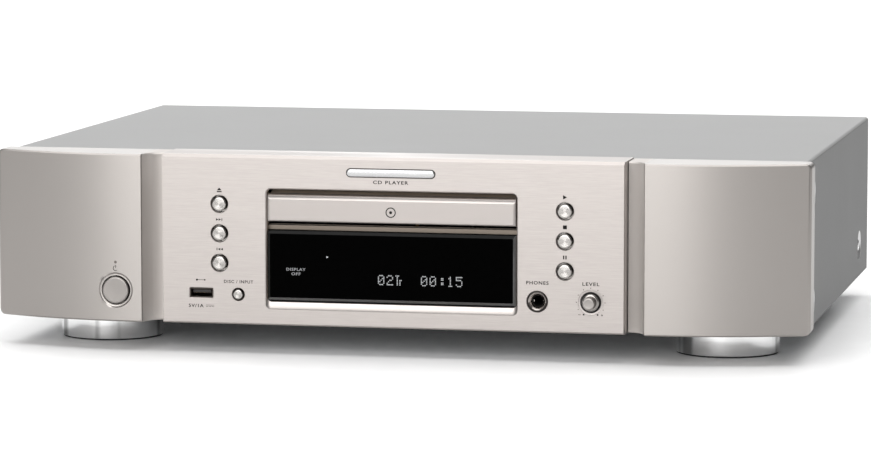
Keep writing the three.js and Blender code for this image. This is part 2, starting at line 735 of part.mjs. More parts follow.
function heatSink() {
  let sink = box([-88, -84], [180, 290], [2, 66]);
  for (let i = 0; i < 6; i++) {
    const y = 180 + i * 21.6;
    sink = sink.add(box([-84.5, -76], [y, y + 2], [2, 66]));
  }
  return sink;
}

piece(cabinet, "power_transformer", powerTransformer(), plainSteel, [-168, 118, 0]);
piece(cabinet, "power_board", powerBoard(), circuitGreen);
piece(cabinet, "heat_sink", heatSink(), plainSteel);
piece(cabinet, "main_board", mainBoard(), circuitGreen);

// ---- Rear sockets ----
const BODY_REAR = REAR_PANEL[0] - 0.2;

// A phono socket's barrel, which is open at its outer end.
function phonoBarrel(x) {
  const profile = [[0, BODY_REAR - 1], [4.2, BODY_REAR - 1], [4.2, JACK_END], [3.5, JACK_END]];
  profile.push([3.5, JACK_END - 8], [1.7, JACK_END - 8], [1.7, JACK_END - 10], [0, JACK_END - 10]);
  return turned(profile, "y", [x, 0, JACK_Z], 20);
}

function analogJacks() {
  const body = box([138, 182], [304, BODY_REAR], [10.2, 41]);
  return joined(body, ...ANALOG_X.map(phonoBarrel));
}

function digitalJacks() {
  const body = box([88, 130], [304, BODY_REAR], [10.2, 41]);
  const port = box(about(OPTICAL_X, 5), [BODY_REAR - 1, 328], about(JACK_Z, 5));
  const cavity = box(about(OPTICAL_X, 3.7), [312, 330], about(JACK_Z, 3.7));
  return joined(body, port, phonoBarrel(COAXIAL_X)).subtract(cavity);
}

function remoteJacks() {
  const z = JACK_Z - 5;
  const body = box([14, 68], [308, BODY_REAR], [10.2, 33]);
  const barrels = REMOTE_X.map((x) => rod("y", [x, 0, z], [BODY_REAR - 1, 326], 4, 20));
  const bores = REMOTE_X.map((x) => rod("y", [x, 0, z], [311, 327], 1.8, 12));
  return cut(joined(body, ...barrels), ...bores, box(about(SWITCH_X, 5), [317, 323], about(z, 2)));
}

function mainsInlet() {
  const body = box(about(INLET_X, 14), [304, 325], about(JACK_Z, 10.5));
  const flange = box(about(INLET_X, 20), [323.95, 326.6], about(JACK_Z, 12.5));
  const recess = box(about(INLET_X, 12), [309, 327], about(JACK_Z, 8));
  const blades = [-7, 7].map((x) => box(about(INLET_X + x, 1), [308.5, 322], about(JACK_Z, 2)));
  return joined(joined(body, flange).subtract(recess), ...blades);
}

piece(cabinet, "analog_jacks", analogJacks(), gold);
piece(cabinet, "digital_jacks", digitalJacks(), blackPlastic);
const shutter = box([-3.3, 3.3], [-0.4, 0.4], [-6.3, 0.3]);
piece(cabinet, "optical_shutter", shutter, greyPlastic, [OPTICAL_X, 326.6, JACK_Z + 3.1]);
piece(cabinet, "remote_jacks", remoteJacks(), blackPlastic);
const slider = box([-2, 2], [317.5, 326], [-1.6, 1.6]);
piece(cabinet, "remote_switch", slider, greyPlastic, [SWITCH_X - 2.5, 0, JACK_Z - 5]);
piece(cabinet, "mains_inlet", mainsInlet(), blackPlastic);

export default player;
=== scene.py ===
"""Finishes a front-loading disc player: its panels, keys, sockets, cover and lettering, built round its frame.

Lengths inside the makers are in millimetres, measured from the middle of the central panel's bottom front edge.
"""
import json
import math

import bmesh
import bpy
from bpy.props import FloatProperty, FloatVectorProperty, IntProperty, PointerProperty, StringProperty
from mathutils import Matrix, Vector


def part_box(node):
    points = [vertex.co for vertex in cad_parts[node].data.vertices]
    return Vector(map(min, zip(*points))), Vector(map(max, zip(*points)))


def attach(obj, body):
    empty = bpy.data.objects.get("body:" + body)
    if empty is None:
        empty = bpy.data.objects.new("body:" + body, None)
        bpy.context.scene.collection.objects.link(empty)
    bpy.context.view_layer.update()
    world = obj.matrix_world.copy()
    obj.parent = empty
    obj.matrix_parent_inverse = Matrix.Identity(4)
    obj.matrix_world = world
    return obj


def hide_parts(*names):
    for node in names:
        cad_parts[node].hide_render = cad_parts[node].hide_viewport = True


bl_info = {
    "name": "Disc player finish",
    "version": (1, 0, 0),
    "blender": (4, 5, 0),
    "location": "3D View > Sidebar > Disc player",
    "description": "Builds the visible pieces and finishes of a front-loading disc player",
    "category": "Object",
}

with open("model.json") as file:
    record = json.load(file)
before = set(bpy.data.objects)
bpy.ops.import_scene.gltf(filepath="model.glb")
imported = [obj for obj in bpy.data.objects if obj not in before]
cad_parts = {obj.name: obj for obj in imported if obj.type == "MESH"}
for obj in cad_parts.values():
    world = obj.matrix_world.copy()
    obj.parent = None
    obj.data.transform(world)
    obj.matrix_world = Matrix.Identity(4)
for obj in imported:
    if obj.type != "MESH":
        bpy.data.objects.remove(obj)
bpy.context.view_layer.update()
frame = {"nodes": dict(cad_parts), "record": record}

MM = 0.001
PANEL_LOW, PANEL_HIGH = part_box("front_panel")
FACE_Y = PANEL_LOW.y
CASE_Z = PANEL_LOW.z
TO_FRAME = Matrix.Translation((0, FACE_Y, CASE_Z)) @ Matrix.Scale(MM, 4)


def spot(node):
    """The lowest and highest corners of a CAD node, in the makers' millimetres."""
    low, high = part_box(node)
    back = TO_FRAME.inverted()
    return back @ low, back @ high


def middle(node):
    low, high = spot(node)
    return (low + high) / 2


# ---- Fixed layout, read from the frame ----

HALF_PANEL = spot("front_panel")[1].x
PANEL_TOP = spot("front_panel")[1].z
FRONT_DEPTH = spot("front_panel")[1].y
END_TOP = spot("right_end_panel")[1].z
HALF_WIDTH = spot("right_end_panel")[1].x
COVER_HALF = spot("top_cover")[1].x
COVER_TOP = spot("top_cover")[1].z
COVER_FRONT = spot("top_cover")[0].y
COVER_REAR = spot("top_cover")[1].y
REAR_FACE = spot("rear_panel")[1].y
KEYS = ("eject", "next", "previous", "play", "stop", "pause")
FEET = ("front_left_foot", "front_right_foot", "rear_left_foot", "rear_right_foot")

# The window that holds the drawer and the display.
WINDOW_HALF = 67.4
WINDOW_LOW = 9.0
WINDOW_HIGH = 72.5
WINDOW_SILL = 12.6
PLATE = 4.0
DRAWER_HALF = spot("drawer_front")[1].x

# The end panels' plan: a hollow cove beside the central panel, a ridge, then a shallow arc.
COVE_X = 124.9
COVE_DEPTH = 12.5
RIDGE_X = 135.05
ARC_X = 140.0
ARC_Y = -2.6
ARC_RADIUS = 178.0
CORNER = 3.0


# ---- Sizes and colours that a user would change ----


def length(label, note, default):
    return FloatProperty(name=label, description=note, default=default, unit="LENGTH", precision=5)


def number(label, note, default):
    return FloatProperty(name=label, description=note, default=default, min=0)


def colour(label, note, default):
    looks = {"subtype": "COLOR", "size": 3, "min": 0, "max": 1}
    return FloatVectorProperty(name=label, description=note, default=default, **looks)


class FrontSizes(bpy.types.PropertyGroup):
    """Edges and holes of the front."""

    top_bevel: length("Top bevel", "Slope along the central panel's top edge", 0.0016)
    bottom_bevel: length("Bottom bevel", "Slope along the central panel's bottom edge", 0.0008)
    end_bevel: length("End bevel", "Slope round the end panels", 0.0008)
    window_bevel: length("Window bevel", "Slope round the window", 0.0006)
    window_radius: length("Window radius", "Corner radius of the window", 0.0025)
    key_hole: length("Key hole", "Radius of a transport key's hole", 0.0046)
    key_bevel: length("Key hole bevel", "Slope round a key's hole", 0.00035)
    drawer_bevel: length("Drawer bevel", "Rounding along the drawer's top edge", 0.003)
    display_bevel: length("Display bevel", "Slope round the display block", 0.0015)


class CaseSizes(bpy.types.PropertyGroup):
    """Folds, seats and screws of the case."""

    sheet: length("Sheet", "Thickness of the cover's sheet", 0.0012)
    fold: length("Fold", "Outer radius of the cover's folds", 0.0018)
    seat_radius: length("Seat radius", "Radius of a pressed screw seat", 0.0084)
    seat_depth: length("Seat depth", "Depth of a pressed screw seat", 0.0021)
    screw_radius: length("Screw radius", "Radius of a case screw's head", 0.0039)
    slot_count: IntProperty(name="Vent slots", description="Slots in each row of the base", default=18, min=1)


class FinishColours(bpy.types.PropertyGroup):
    """Colours of the finishes."""

    panel: colour("Panel", "Brushed aluminium of the central panel", (0.40, 0.369, 0.351))
    ends: colour("Ends", "Smooth aluminium of the end panels", (0.34, 0.318, 0.301))
    keys: colour("Keys", "Spun aluminium of the keys", (0.35, 0.335, 0.32))
    cover: colour("Cover", "Paint of the cover", (0.285, 0.285, 0.284))
    ink: colour("Ink", "Printed lettering on the front", (0.012, 0.011, 0.011))
    glow: colour("Glow", "Lit dots of the readout", (0.86, 0.89, 0.92))
    crossbar: colour("Cross-bar", "Paint of the inner frame", (0.17, 0.137, 0.108))


class Readout(bpy.types.PropertyGroup):
    """What the display shows."""

    track: StringProperty(name="Track", description="Left group of the readout", default="02Tr")
    clock: StringProperty(name="Time", description="Right group of the readout", default="00:15")
    dot: length("Dot", "Side of one lit dot", 0.0005)


class StageSettings(bpy.types.PropertyGroup):
    """Camera and light."""

    lens: number("Lens", "Focal length on a 36 mm sensor, in millimetres", 174.5)
    world: number("Surroundings", "Strength of the dim surroundings", 0.18)
    overhead: number("Overhead", "Strength of the broad light from above", 3.2)
    backdrop: number("Back light", "Power of the light behind, in watts", 24.0)
    softbox: number("Softbox", "Power of the softbox in front, in watts", 88.0)


def sizes():
    return bpy.context.scene.player_front


def case():
    return bpy.context.scene.player_case


def colours():
    return bpy.context.scene.player_colours


# ---- Meshes ----


def circle(centre, radius, sides=64, start=0.0):
    steps = (start + 2 * math.pi * i / sides for i in range(sides))
    return [(centre[0] + radius * math.cos(a), centre[1] + radius * math.sin(a)) for a in steps]


def rounded(low, high, radius, steps=6):
    """A rectangle with round corners, anticlockwise, as (u, v) points."""
    (u0, v0), (u1, v1) = low, high
    left, right, bottom, top = u0 + radius, u1 - radius, v0 + radius, v1 - radius
    corners = ((right, bottom), (right, top), (left, top), (left, bottom))
    points = []
    for quarter, (u, v) in enumerate(corners):
        for i in range(steps + 1):
            angle = math.pi / 2 * (quarter - 1 + i / steps)
            points.append((u + radius * math.cos(angle), v + radius * math.sin(angle)))
    return points


# Where a point (u, v) of an outline lies once it is w along the third axis.
PLANES = {
    "xz": lambda u, v, w: (u, w, v),
    "xy": lambda u, v, w: (u, v, w),
    "yz": lambda u, v, w: (w, u, v),
}
FACING = {"x": "yz", "y": "xz", "z": "xy"}


SMOOTH_ANGLE = 33  # Degrees between two faces up to which their shading runs on
SHARP_ANGLE = 14  # The same, for a face that must keep its own tone beside a fold
TOUCHING = 1e-4  # Millimetres between two vertices that are one


def placed(name, data):
    """A new object in the scene, round a mesh, a curve, a light or a camera."""
    item = bpy.data.objects.new(name, data)
    bpy.context.scene.collection.objects.link(item)
    return item


class Form:
    """A mesh under construction. New faces take the material slot in self.paint."""

    def __init__(self):
        self.bm = bmesh.new()
        self.radius = self.bm.verts.layers.float.new("radius")
        self.paint = 0

    def ring(self, points):
        return [self.bm.verts.new(point) for point in points]

    def face(self, corners):
        self.bm.faces.new(corners).material_index = self.paint

    def skin(self, first, second, closed=True):
        """Faces between two rings. A ring of one vertex is the tip of a cone."""
        count = max(len(first), len(second))
        first, second = (ring * (count // len(ring)) for ring in (first, second))
        for i in range(count if closed else count - 1):
            j = (i + 1) % count
            distinct = list(dict.fromkeys((first[i], first[j], second[j], second[i])))
            if len(distinct) > 2:
                self.face(distinct)

    def skins(self, rings, closed=True):
        for first, second in zip(rings, rings[1:]):
            self.skin(first, second, closed)

    def fill(self, *rings):
        """Fills the flat area inside the first ring and outside the others."""
        edges = []
        for ring in rings:
            for first, second in zip(ring, ring[1:] + ring[:1]):
                edges.append(self.bm.edges.get((first, second)) or self.bm.edges.new((first, second)))
        made = bmesh.ops.triangle_fill(self.bm, use_beauty=True, use_dissolve=False, edges=edges)
        for item in made["geom"]:
            if isinstance(item, bmesh.types.BMFace):
                item.material_index = self.paint

    def steps(self, outlines, plane="xz"):
        """Skins a list of (outline, depth) steps, where depth is a number or a function of (u, v)."""
        rings = []
        for outline, depth in outlines:
            reach = depth if callable(depth) else lambda u, v, same=depth: same
            rings.append(self.ring([PLANES[plane](u, v, reach(u, v)) for u, v in outline]))
        self.skins(rings)
        return rings[0], rings[-1]

    def plate(self, outer, holes=(), plane="xz"):
        """A plate whose outer edge and holes are lists of steps from the front to the back."""
        ends = [self.steps(outlines, plane) for outlines in (outer, *holes)]
        self.fill(*(front for front, _ in ends))
        self.fill(*(back for _, back in ends))

    def prism(self, outline, near, far, plane="xz"):
        self.plate([(outline, near), (outline, far)], plane=plane)

    def turned(self, profile, centre=(0, 0), axis="y", sides=64):
        """A solid of revolution from (radius, distance along the axis) points."""
        rings = []
        for radius, reach in profile:
            outline = circle(centre, radius, sides) if radius else [centre]
            ring = self.ring([PLANES[FACING[axis]](u, v, reach) for u, v in outline])
            for vertex in ring:
                vertex[self.radius] = radius
            rings.append(ring)
        self.skins(rings)

    def block(self, low, high, bevel=0.0, segments=2):
        made = bmesh.ops.create_cube(self.bm, size=1)["verts"]
        low, high = Vector(low), Vector(high)
        size = high - low
        bmesh.ops.scale(self.bm, vec=size, verts=made)
        bmesh.ops.translate(self.bm, vec=(low + high) / 2, verts=made)
        faces = {face for vertex in made for face in vertex.link_faces}
        for face in faces:
            face.material_index = self.paint
        if bevel:
            edges = list({edge for vertex in made for edge in vertex.link_edges})
            bmesh.ops.bevel(self.bm, geom=edges, offset=bevel, segments=segments, profile=0.5, affect="EDGES")

    def tidy(self):
        """Joins vertices that meet and turns every face outwards."""
        bmesh.ops.remove_doubles(self.bm, verts=self.bm.verts, dist=TOUCHING)
        bmesh.ops.recalc_face_normals(self.bm, faces=self.bm.faces)

    def mesh(self, name, matrix=TO_FRAME):
        """The finished mesh. The form can't be used after it."""
        self.tidy()
        bmesh.ops.transform(self.bm, matrix=matrix, verts=self.bm.verts)
        made = bpy.data.meshes.new(name)
        self.bm.to_mesh(made)
        self.bm.free()
        return made

    def raw(self, name, finishes=(), angle=SMOOTH_ANGLE):
        """An object that still has modifiers to come."""
        made = placed(name, self.mesh(name))
        for title in finishes:
            made.data.materials.append(finish(title))
        smooth(made.data, angle)
        return made

    def piece(self, name, finishes, body="cabinet", stands_for=(), slot=None, angle=SMOOTH_ANGLE):
        return settle(self.raw(name, finishes, angle), body, stands_for)


def smooth(mesh, angle):
    mesh.shade_smooth()
    mesh.set_sharp_from_angle(angle=math.radians(angle))


def settle(piece, body="cabinet", stands_for=()):
    """Makes a finished piece ride on its body and stand for its CAD nodes."""
    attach(piece, body)
    if stands_for:
        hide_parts(*stands_for)
    return piece


def evaluated_mesh(item):
    graph = bpy.context.evaluated_depsgraph_get()
    return bpy.data.meshes.new_from_object(item.evaluated_get(graph))


def bake(piece, angle=SMOOTH_ANGLE):
    """Turns a piece with modifiers into a plain mesh."""
    plain = evaluated_mesh(piece)
    plain.name = piece.name
    piece.modifiers.clear()
    piece.data = plain
    smooth(plain, angle)


def quarter_round(reach, steps=5):
    """(inset, depth) pairs round a quarter circle, from the front face to the edge."""
    angles = (math.pi / 2 * i / steps for i in range(steps + 1))
    return [(reach * (1 - math.sin(a)), reach * (1 - math.cos(a))) for a in angles]


# ---- Materials ----


class Signal:
    """A shader socket that arithmetic works on."""

    def __init__(self, recipe, socket):
        self.recipe = recipe
        self.socket = socket

    def _math(self, operation, left, right):
        return self.recipe.node("ShaderNodeMath", {"operation": operation}, [left, right])

    def __add__(self, other):
        return self._math("ADD", self, other)

    def __sub__(self, other):
        return self._math("SUBTRACT", self, other)

    def __rsub__(self, other):
        return self._math("SUBTRACT", other, self)

    def __mul__(self, other):
        return self._math("MULTIPLY", self, other)

    def __gt__(self, other):
        return self._math("GREATER_THAN", self, other)

    __radd__ = __add__
    __rmul__ = __mul__


class Recipe:
    """A material's node tree round one Principled shader."""

    def __init__(self, name, constants):
        self.material = bpy.data.materials.new(name)
        self.material.use_nodes = True
        self.tree = self.material.node_tree
        self.shader = self.tree.nodes["Principled BSDF"]
        for label, value in constants.items():
            self.shader.inputs[label].default_value = value

    def node(self, kind, settings=(), inputs=(), output=0):
        """Adds a node: settings first, then its sockets, given in order or by name."""
        made = self.tree.nodes.new(kind)
        for key, value in dict(settings).items():
            setattr(made, key, value)
        named = inputs.items() if isinstance(inputs, dict) else enumerate(inputs)
        for key, value in named:
            if isinstance(value, Signal):
                self.tree.links.new(value.socket, made.inputs[key])
            else:
                made.inputs[key].default_value = value
        return Signal(self, made.outputs[output])

    def drive(self, label, signal):
        self.tree.links.new(signal.socket, self.shader.inputs[label])

    def place(self, stretch=(1, 1, 1)):
        """Object coordinates in metres, stretched along each axis."""
        here = self.node("ShaderNodeTexCoord", output="Object")
        return self.node("ShaderNodeVectorMath", {"operation": "MULTIPLY"}, [here, stretch])

    def noise(self, grain, detail=2.0, roughness=0.5):
        """Noise with so many waves to a metre, the same along each axis or one number for each."""
        stretch = grain if isinstance(grain, tuple) else (grain,) * 3
        sockets = {"Vector": self.place(stretch), "Scale": 1.0, "Detail": detail, "Roughness": roughness}
        return self.node("ShaderNodeTexNoise", {}, sockets)

    def between(self, factor, first, second):
        """A colour between two others."""
        sockets = {0: factor, 6: (*first, 1), 7: (*second, 1)}
        return self.node("ShaderNodeMix", {"data_type": "RGBA"}, sockets, output=2)

    def tinted(self, factor, tint, dark, light):
        """A base colour between two shades of a tint."""
        self.drive("Base Color", self.between(factor, shade(tint, dark), shade(tint, light)))

    def bump(self, height, strength, depth):
        sockets = {"Strength": strength, "Distance": depth, "Height": height}
        self.drive("Normal", self.node("ShaderNodeBump", {}, sockets))


def shade(tint, factor):
    return tuple(min(1.0, part * factor) for part in tint)


def brushed(name, tint, roughness=0.34, grain=(70, 900, 2600), contrast=0.12):
    """Aluminium with straight brushing along X, in long faint streaks over fine scratches."""
    recipe = Recipe(name, {"Metallic": 0.88, "Anisotropic": 0.45})
    streaks = recipe.noise(grain, 3.0, 0.65)
    fine = recipe.noise((grain[0] * 2.2, grain[1] * 3, grain[2] * 3.4), 2.0, 0.6)
    lively = streaks * 0.6 + fine * 0.4
    recipe.tinted(lively, tint, 1 - contrast * 2, 1 + contrast * 2)
    recipe.drive("Roughness", lively * 0.16 + (roughness - 0.08))
    recipe.bump(fine, 0.22, 0.00003)
    return recipe.material


def silky(name, tint, roughness=0.33, metal=0.88):
    """Aluminium with a fine, even, bead-blasted bloom."""
    recipe = Recipe(name, {"Metallic": metal})
    bloom = recipe.noise(2600, roughness=0.6)
    cloud = recipe.noise((14, 14, 9))
    lively = bloom * 0.7 + cloud * 0.3
    recipe.tinted(lively, tint, 0.965, 1.03)
    recipe.drive("Roughness", cloud * 0.06 + bloom * 0.06 + (roughness - 0.06))
    recipe.bump(bloom, 0.12, 0.00002)
    return recipe.material


def spun(name, tint, roughness=0.16, pitch=9.0):
    """Metal turned on a lathe: rings round the piece's own axis, from its radius attribute in millimetres."""
    recipe = Recipe(name, {"Metallic": 1.0})
    radius = recipe.node("ShaderNodeAttribute", {"attribute_name": "radius"}, output="Fac")
    sockets = {"W": radius * pitch, "Scale": 1.0, "Detail": 2.0}
    rings = recipe.node("ShaderNodeTexNoise", {"noise_dimensions": "1D"}, sockets)
    wear = recipe.noise(900)
    recipe.tinted(rings * 0.7 + wear * 0.3, tint, 0.93, 1.05)
    recipe.drive("Roughness", rings * 0.12 + wear * 0.04 + (roughness - 0.08))
    recipe.bump(rings, 0.5, 0.00004)
    return recipe.material


def turned_band(name, tint, roughness=0.12):
    """Bright metal with fine turning marks round a vertical wall, crossed by soft darker streaks."""
    recipe = Recipe(name, {"Metallic": 1.0, "Anisotropic": 0.5})
    marks = recipe.noise((12, 12, 4200), 3.0, 0.6)
    reflection_streak_noise = recipe.noise((62, 62, 2), roughness=0.6)
    # Soft darker streaks up the wall: painted reflection of dark surroundings in the turned metal.
    sockets = {"Value": reflection_streak_noise, "From Min": 0.34, "From Max": 0.47}
    streaks = recipe.node("ShaderNodeMapRange", {"interpolation_type": "SMOOTHSTEP"}, sockets)
    recipe.tinted(streaks * 0.85 + marks * 0.15, tint, 0.3, 1)
    recipe.drive("Roughness", marks * 0.12 + reflection_streak_noise * 0.08 + (roughness - 0.06))
    recipe.bump(marks, 0.18, 0.00002)
    return recipe.material


def painted(name, tint, roughness=0.42, grain=1500, depth=0.00003, metal=0.0, shine=0.5):
    """Stoved paint or plastic with a fine texture and a faint unevenness."""
    recipe = Recipe(name, {"Metallic": metal, "Specular IOR Level": shine})
    fine = recipe.noise(grain, roughness=0.55)
    broad = recipe.noise(22)
    recipe.tinted(fine * 0.5 + broad * 0.5, tint, 0.95, 1.05)
    recipe.drive("Roughness", fine * 0.1 + broad * 0.06 + (roughness - 0.08))
    recipe.bump(fine, 0.3, depth)
    return recipe.material


def acrylic(name, tint, shine):
    """Deep black acrylic with a polish that is only just uneven."""
    recipe = Recipe(name, {"Specular IOR Level": shine})
    faint = recipe.noise(300)
    recipe.tinted(faint, tint, 0.8, 1.3)
    recipe.drive("Roughness", faint * 0.03 + 0.045)
    return recipe.material


def board(name, mask, copper):
    """A circuit board: a mask over a lattice of copper tracks."""
    recipe = Recipe(name, {"Coat Weight": 0.3, "Coat Roughness": 0.2})
    sockets = {"Vector": recipe.place((230,) * 3), "Scale": 1.0}
    cells = recipe.node("ShaderNodeTexVoronoi", {"distance": "MANHATTAN"}, sockets)
    fine = recipe.noise(800)
    tracks = cells + fine * 0.3 > 0.62
    recipe.drive("Base Color", recipe.between(tracks, mask, copper))
    recipe.drive("Roughness", fine * 0.2 + 0.28)
    recipe.bump(tracks, 0.3, 0.00004)
    return recipe.material


def glowing(name, tint, strength):
    """Lit dots, a little uneven from dot to dot."""
    recipe = Recipe(name, {"Roughness": 0.4, "Emission Strength": strength})
    uneven = recipe.noise(900, 1.0)
    recipe.drive("Emission Color", recipe.between(uneven, shade(tint, 0.8), tint))
    recipe.tinted(uneven, tint, 0.3, 0.4)
    return recipe.material


# Each finish: its maker, its tint and the maker's other details. A tint is a colour, or the name of one of the
# user's colours and how bright it is taken.
FINISHES = {
    "brushed_champagne": (brushed, ("panel", 1)),
    "drawer_metal": (silky, ("panel", 0.8), 0.3),
    "silky_champagne": (silky, ("ends", 1)),
    # The coves: a lighter, less metallic copy of the end panels' aluminium, as painted light.
    "cove_metal": (silky, ("ends", 1.5), 0.45, 0.35),
    "power_metal": (silky, ("ends", 0.72)),
    "knob_metal": (silky, ("ends", 0.75), 0.3),
    "flange_metal": (silky, ("ends", 0.8), 0.22),
    "spun_aluminium": (spun, ("keys", 1)),
    # The window's reveal: a lightened copy of the crossbar's paint, as painted light.
    "reveal_metal": (silky, ("crossbar", 3), 0.4, 0.2),
    "lip_paint": (painted, ("crossbar", 2.6), 0.5, 900),
    "beige_paint": (painted, ("crossbar", 1), 0.36, 1500, 0.00002, 0.35),
    "cover_paint": (painted, ("cover", 1), 0.5, 1300, 0.00002, 0.0, 0.15),
    # The cover's side walls: the cover's paint darkened, as painted shade on the sides.
    "cover_wall_paint": (painted, ("cover", 0.62), 0.5, 1300, 0.00002, 0.0, 0.15),
    "seat_metal": (silky, (0.62,) * 3, 0.3),
    "grey_ink": (painted, ("ink", 1), 0.6, 3000, 0.00001, 0.0, 0.05),
    "white_ink": (painted, (0.78,) * 3, 0.55, 3000, 0.00001),
    "name_chrome": (silky, (0.42,) * 3, 0.2),
    "smoked_lamp": (painted, (0.12, 0.10, 0.09), 0.2, 900, 0.00001),
    "readout_glow": (glowing, ("glow", 1), 0.22),
    "arrow_glow": (glowing, ("glow", 1), 0.5),
    "label_glow": (glowing, (0.45, 0.46, 0.48), 0.2),
    "black_acrylic": (acrylic, (0.001,) * 3, 0.0),
    "acrylic_edge": (acrylic, (0.012,) * 3, 0.05),
    # The display's lower and right chamfers: lighter acrylic, as painted reflection.
    "acrylic_lower_edge": (acrylic, (0.06,) * 3, 0.5),
    # The USB shell: steel darkened, as painted shade inside the socket.
    "usb_shell": (painted, (0.06, 0.052, 0.046), 0.34, 900, 0.00001, 1.0),
    "contact_gold": (painted, (0.83, 0.6, 0.25), 0.3, 900, 0.00001, 1.0),
    "black_nickel": (spun, (0.05, 0.045, 0.042), 0.24, 7.0),
    "grey_nickel": (spun, (0.4, 0.37, 0.35), 0.18, 7.0),
    "gold_plate": (spun, (0.95, 0.70, 0.30), 0.18, 7.0),
    "white_core": (painted, (0.8,) * 3, 0.35, 1200, 0.00002),
    "red_core": (painted, (0.55, 0.02, 0.02), 0.35, 1200, 0.00002),
    "orange_core": (painted, (0.75, 0.28, 0.03), 0.35, 1200, 0.00002),
    # The feet's metal carries darker streaks of painted reflection.
    "foot_metal": (turned_band, (0.97,) * 3),
    "foot_rubber": (painted, (0.02,) * 3, 0.7, 1800, 0.00004),
    "black_plastic": (painted, (0.018, 0.018, 0.019), 0.48, 2200, 0.00003),
    # Near-black: real black parts inside the sockets, and painted shade on the subframe and round the level
    # knob.
    "dark_well": (painted, (0.012, 0.010, 0.009), 0.6, 2000, 0.00002),
    "rear_paint": (painted, (0.05,) * 3, 0.4, 1100, 0.00004),
    "screw_zinc": (painted, (0.62,) * 3, 0.26, 900, 0.00001, 1.0),
    "screw_black": (painted, (0.06,) * 3, 0.3, 900, 0.00001, 0.8),
    "zinc_steel": (painted, (0.55, 0.56, 0.57), 0.38, 700, 0.00002, 1.0),
    "motor_steel": (painted, (0.62,) * 3, 0.3, 500, 0.00002, 1.0),
    "ground_rod": (brushed, (0.8,) * 3, 0.2, (900, 60, 900)),
    "turned_brass": (painted, (0.78, 0.56, 0.24), 0.3, 900, 0.00002, 1.0),
    "laminations": (brushed, (0.30, 0.30, 0.32), 0.45, (300, 300, 2800)),
    "sink_aluminium": (silky, (0.52, 0.52, 0.54)),
    "grey_acetal": (painted, (0.10, 0.10, 0.105), 0.42, 1500, 0.00003),
    "belt_rubber": (painted, (0.015,) * 3, 0.75, 1500, 0.00003),
    "circuit_board": (board, (0.012, 0.09, 0.035), (0.03, 0.17, 0.06)),
    "pale_floor": (painted, (0.90,) * 3, 0.6, 60, 0.0),
}
STORE = {}


def finish(name):
    """A material from the table above. Pieces with the same finish share it."""
    if name not in STORE:
        maker, tint, *details = FINISHES[name]
        if isinstance(tint[0], str):
            tint = shade(getattr(colours(), tint[0]), tint[1])
        STORE[name] = maker(name, tint, *details)
    return STORE[name]


# ---- Lettering ----


CAPITAL_SHARE = 0.7  # A capital's height in a line of size 1
LETTER_THICKNESS = 0.05


def print_words(form, text, height, width, centre, y, facing=-1):
    """Adds printed lettering of a given height and width, centred on (x, z), to a form."""
    curve = bpy.data.curves.new("words", "FONT")
    curve.body = text
    curve.size = height / CAPITAL_SHARE
    curve.offset = height * 0.026
    curve.extrude = LETTER_THICKNESS / 2
    curve.resolution_u = 3
    curve.space_character = 1.18
    holder = placed("words", curve)
    flat = evaluated_mesh(holder)
    bpy.data.objects.remove(holder)
    corners = [vertex.co for vertex in flat.vertices]
    left, right = min(c.x for c in corners), max(c.x for c in corners)
    low, high = min(c.y for c in corners), max(c.y for c in corners)
    across, up, stretch = (left + right) / 2, (low + high) / 2, width / (right - left)
    x, z = centre
    ring = form.ring([(x - facing * (c.x - across) * stretch, y - facing * c.z, z + c.y - up) for c in corners])
    for polygon in flat.polygons:
        form.face([ring[i] for i in polygon.vertices])


# ---- Geometry Nodes ----


def node_group(name, sockets):
    """An empty geometry tree with a geometry input, the named inputs and a geometry output."""
    tree = bpy.data.node_groups.new(name, "GeometryNodeTree")
    tree.interface.new_socket("Geometry", in_out="INPUT", socket_type="NodeSocketGeometry")
    for label, kind in sockets:
        tree.interface.new_socket(label, in_out="INPUT", socket_type=kind)
    tree.interface.new_socket("Geometry", in_out="OUTPUT", socket_type="NodeSocketGeometry")
    return tree, tree.nodes.new("NodeGroupInput"), tree.nodes.new("NodeGroupOutput")


def join(tree, *links):
    for output, target in links:
        tree.links.new(output, target)


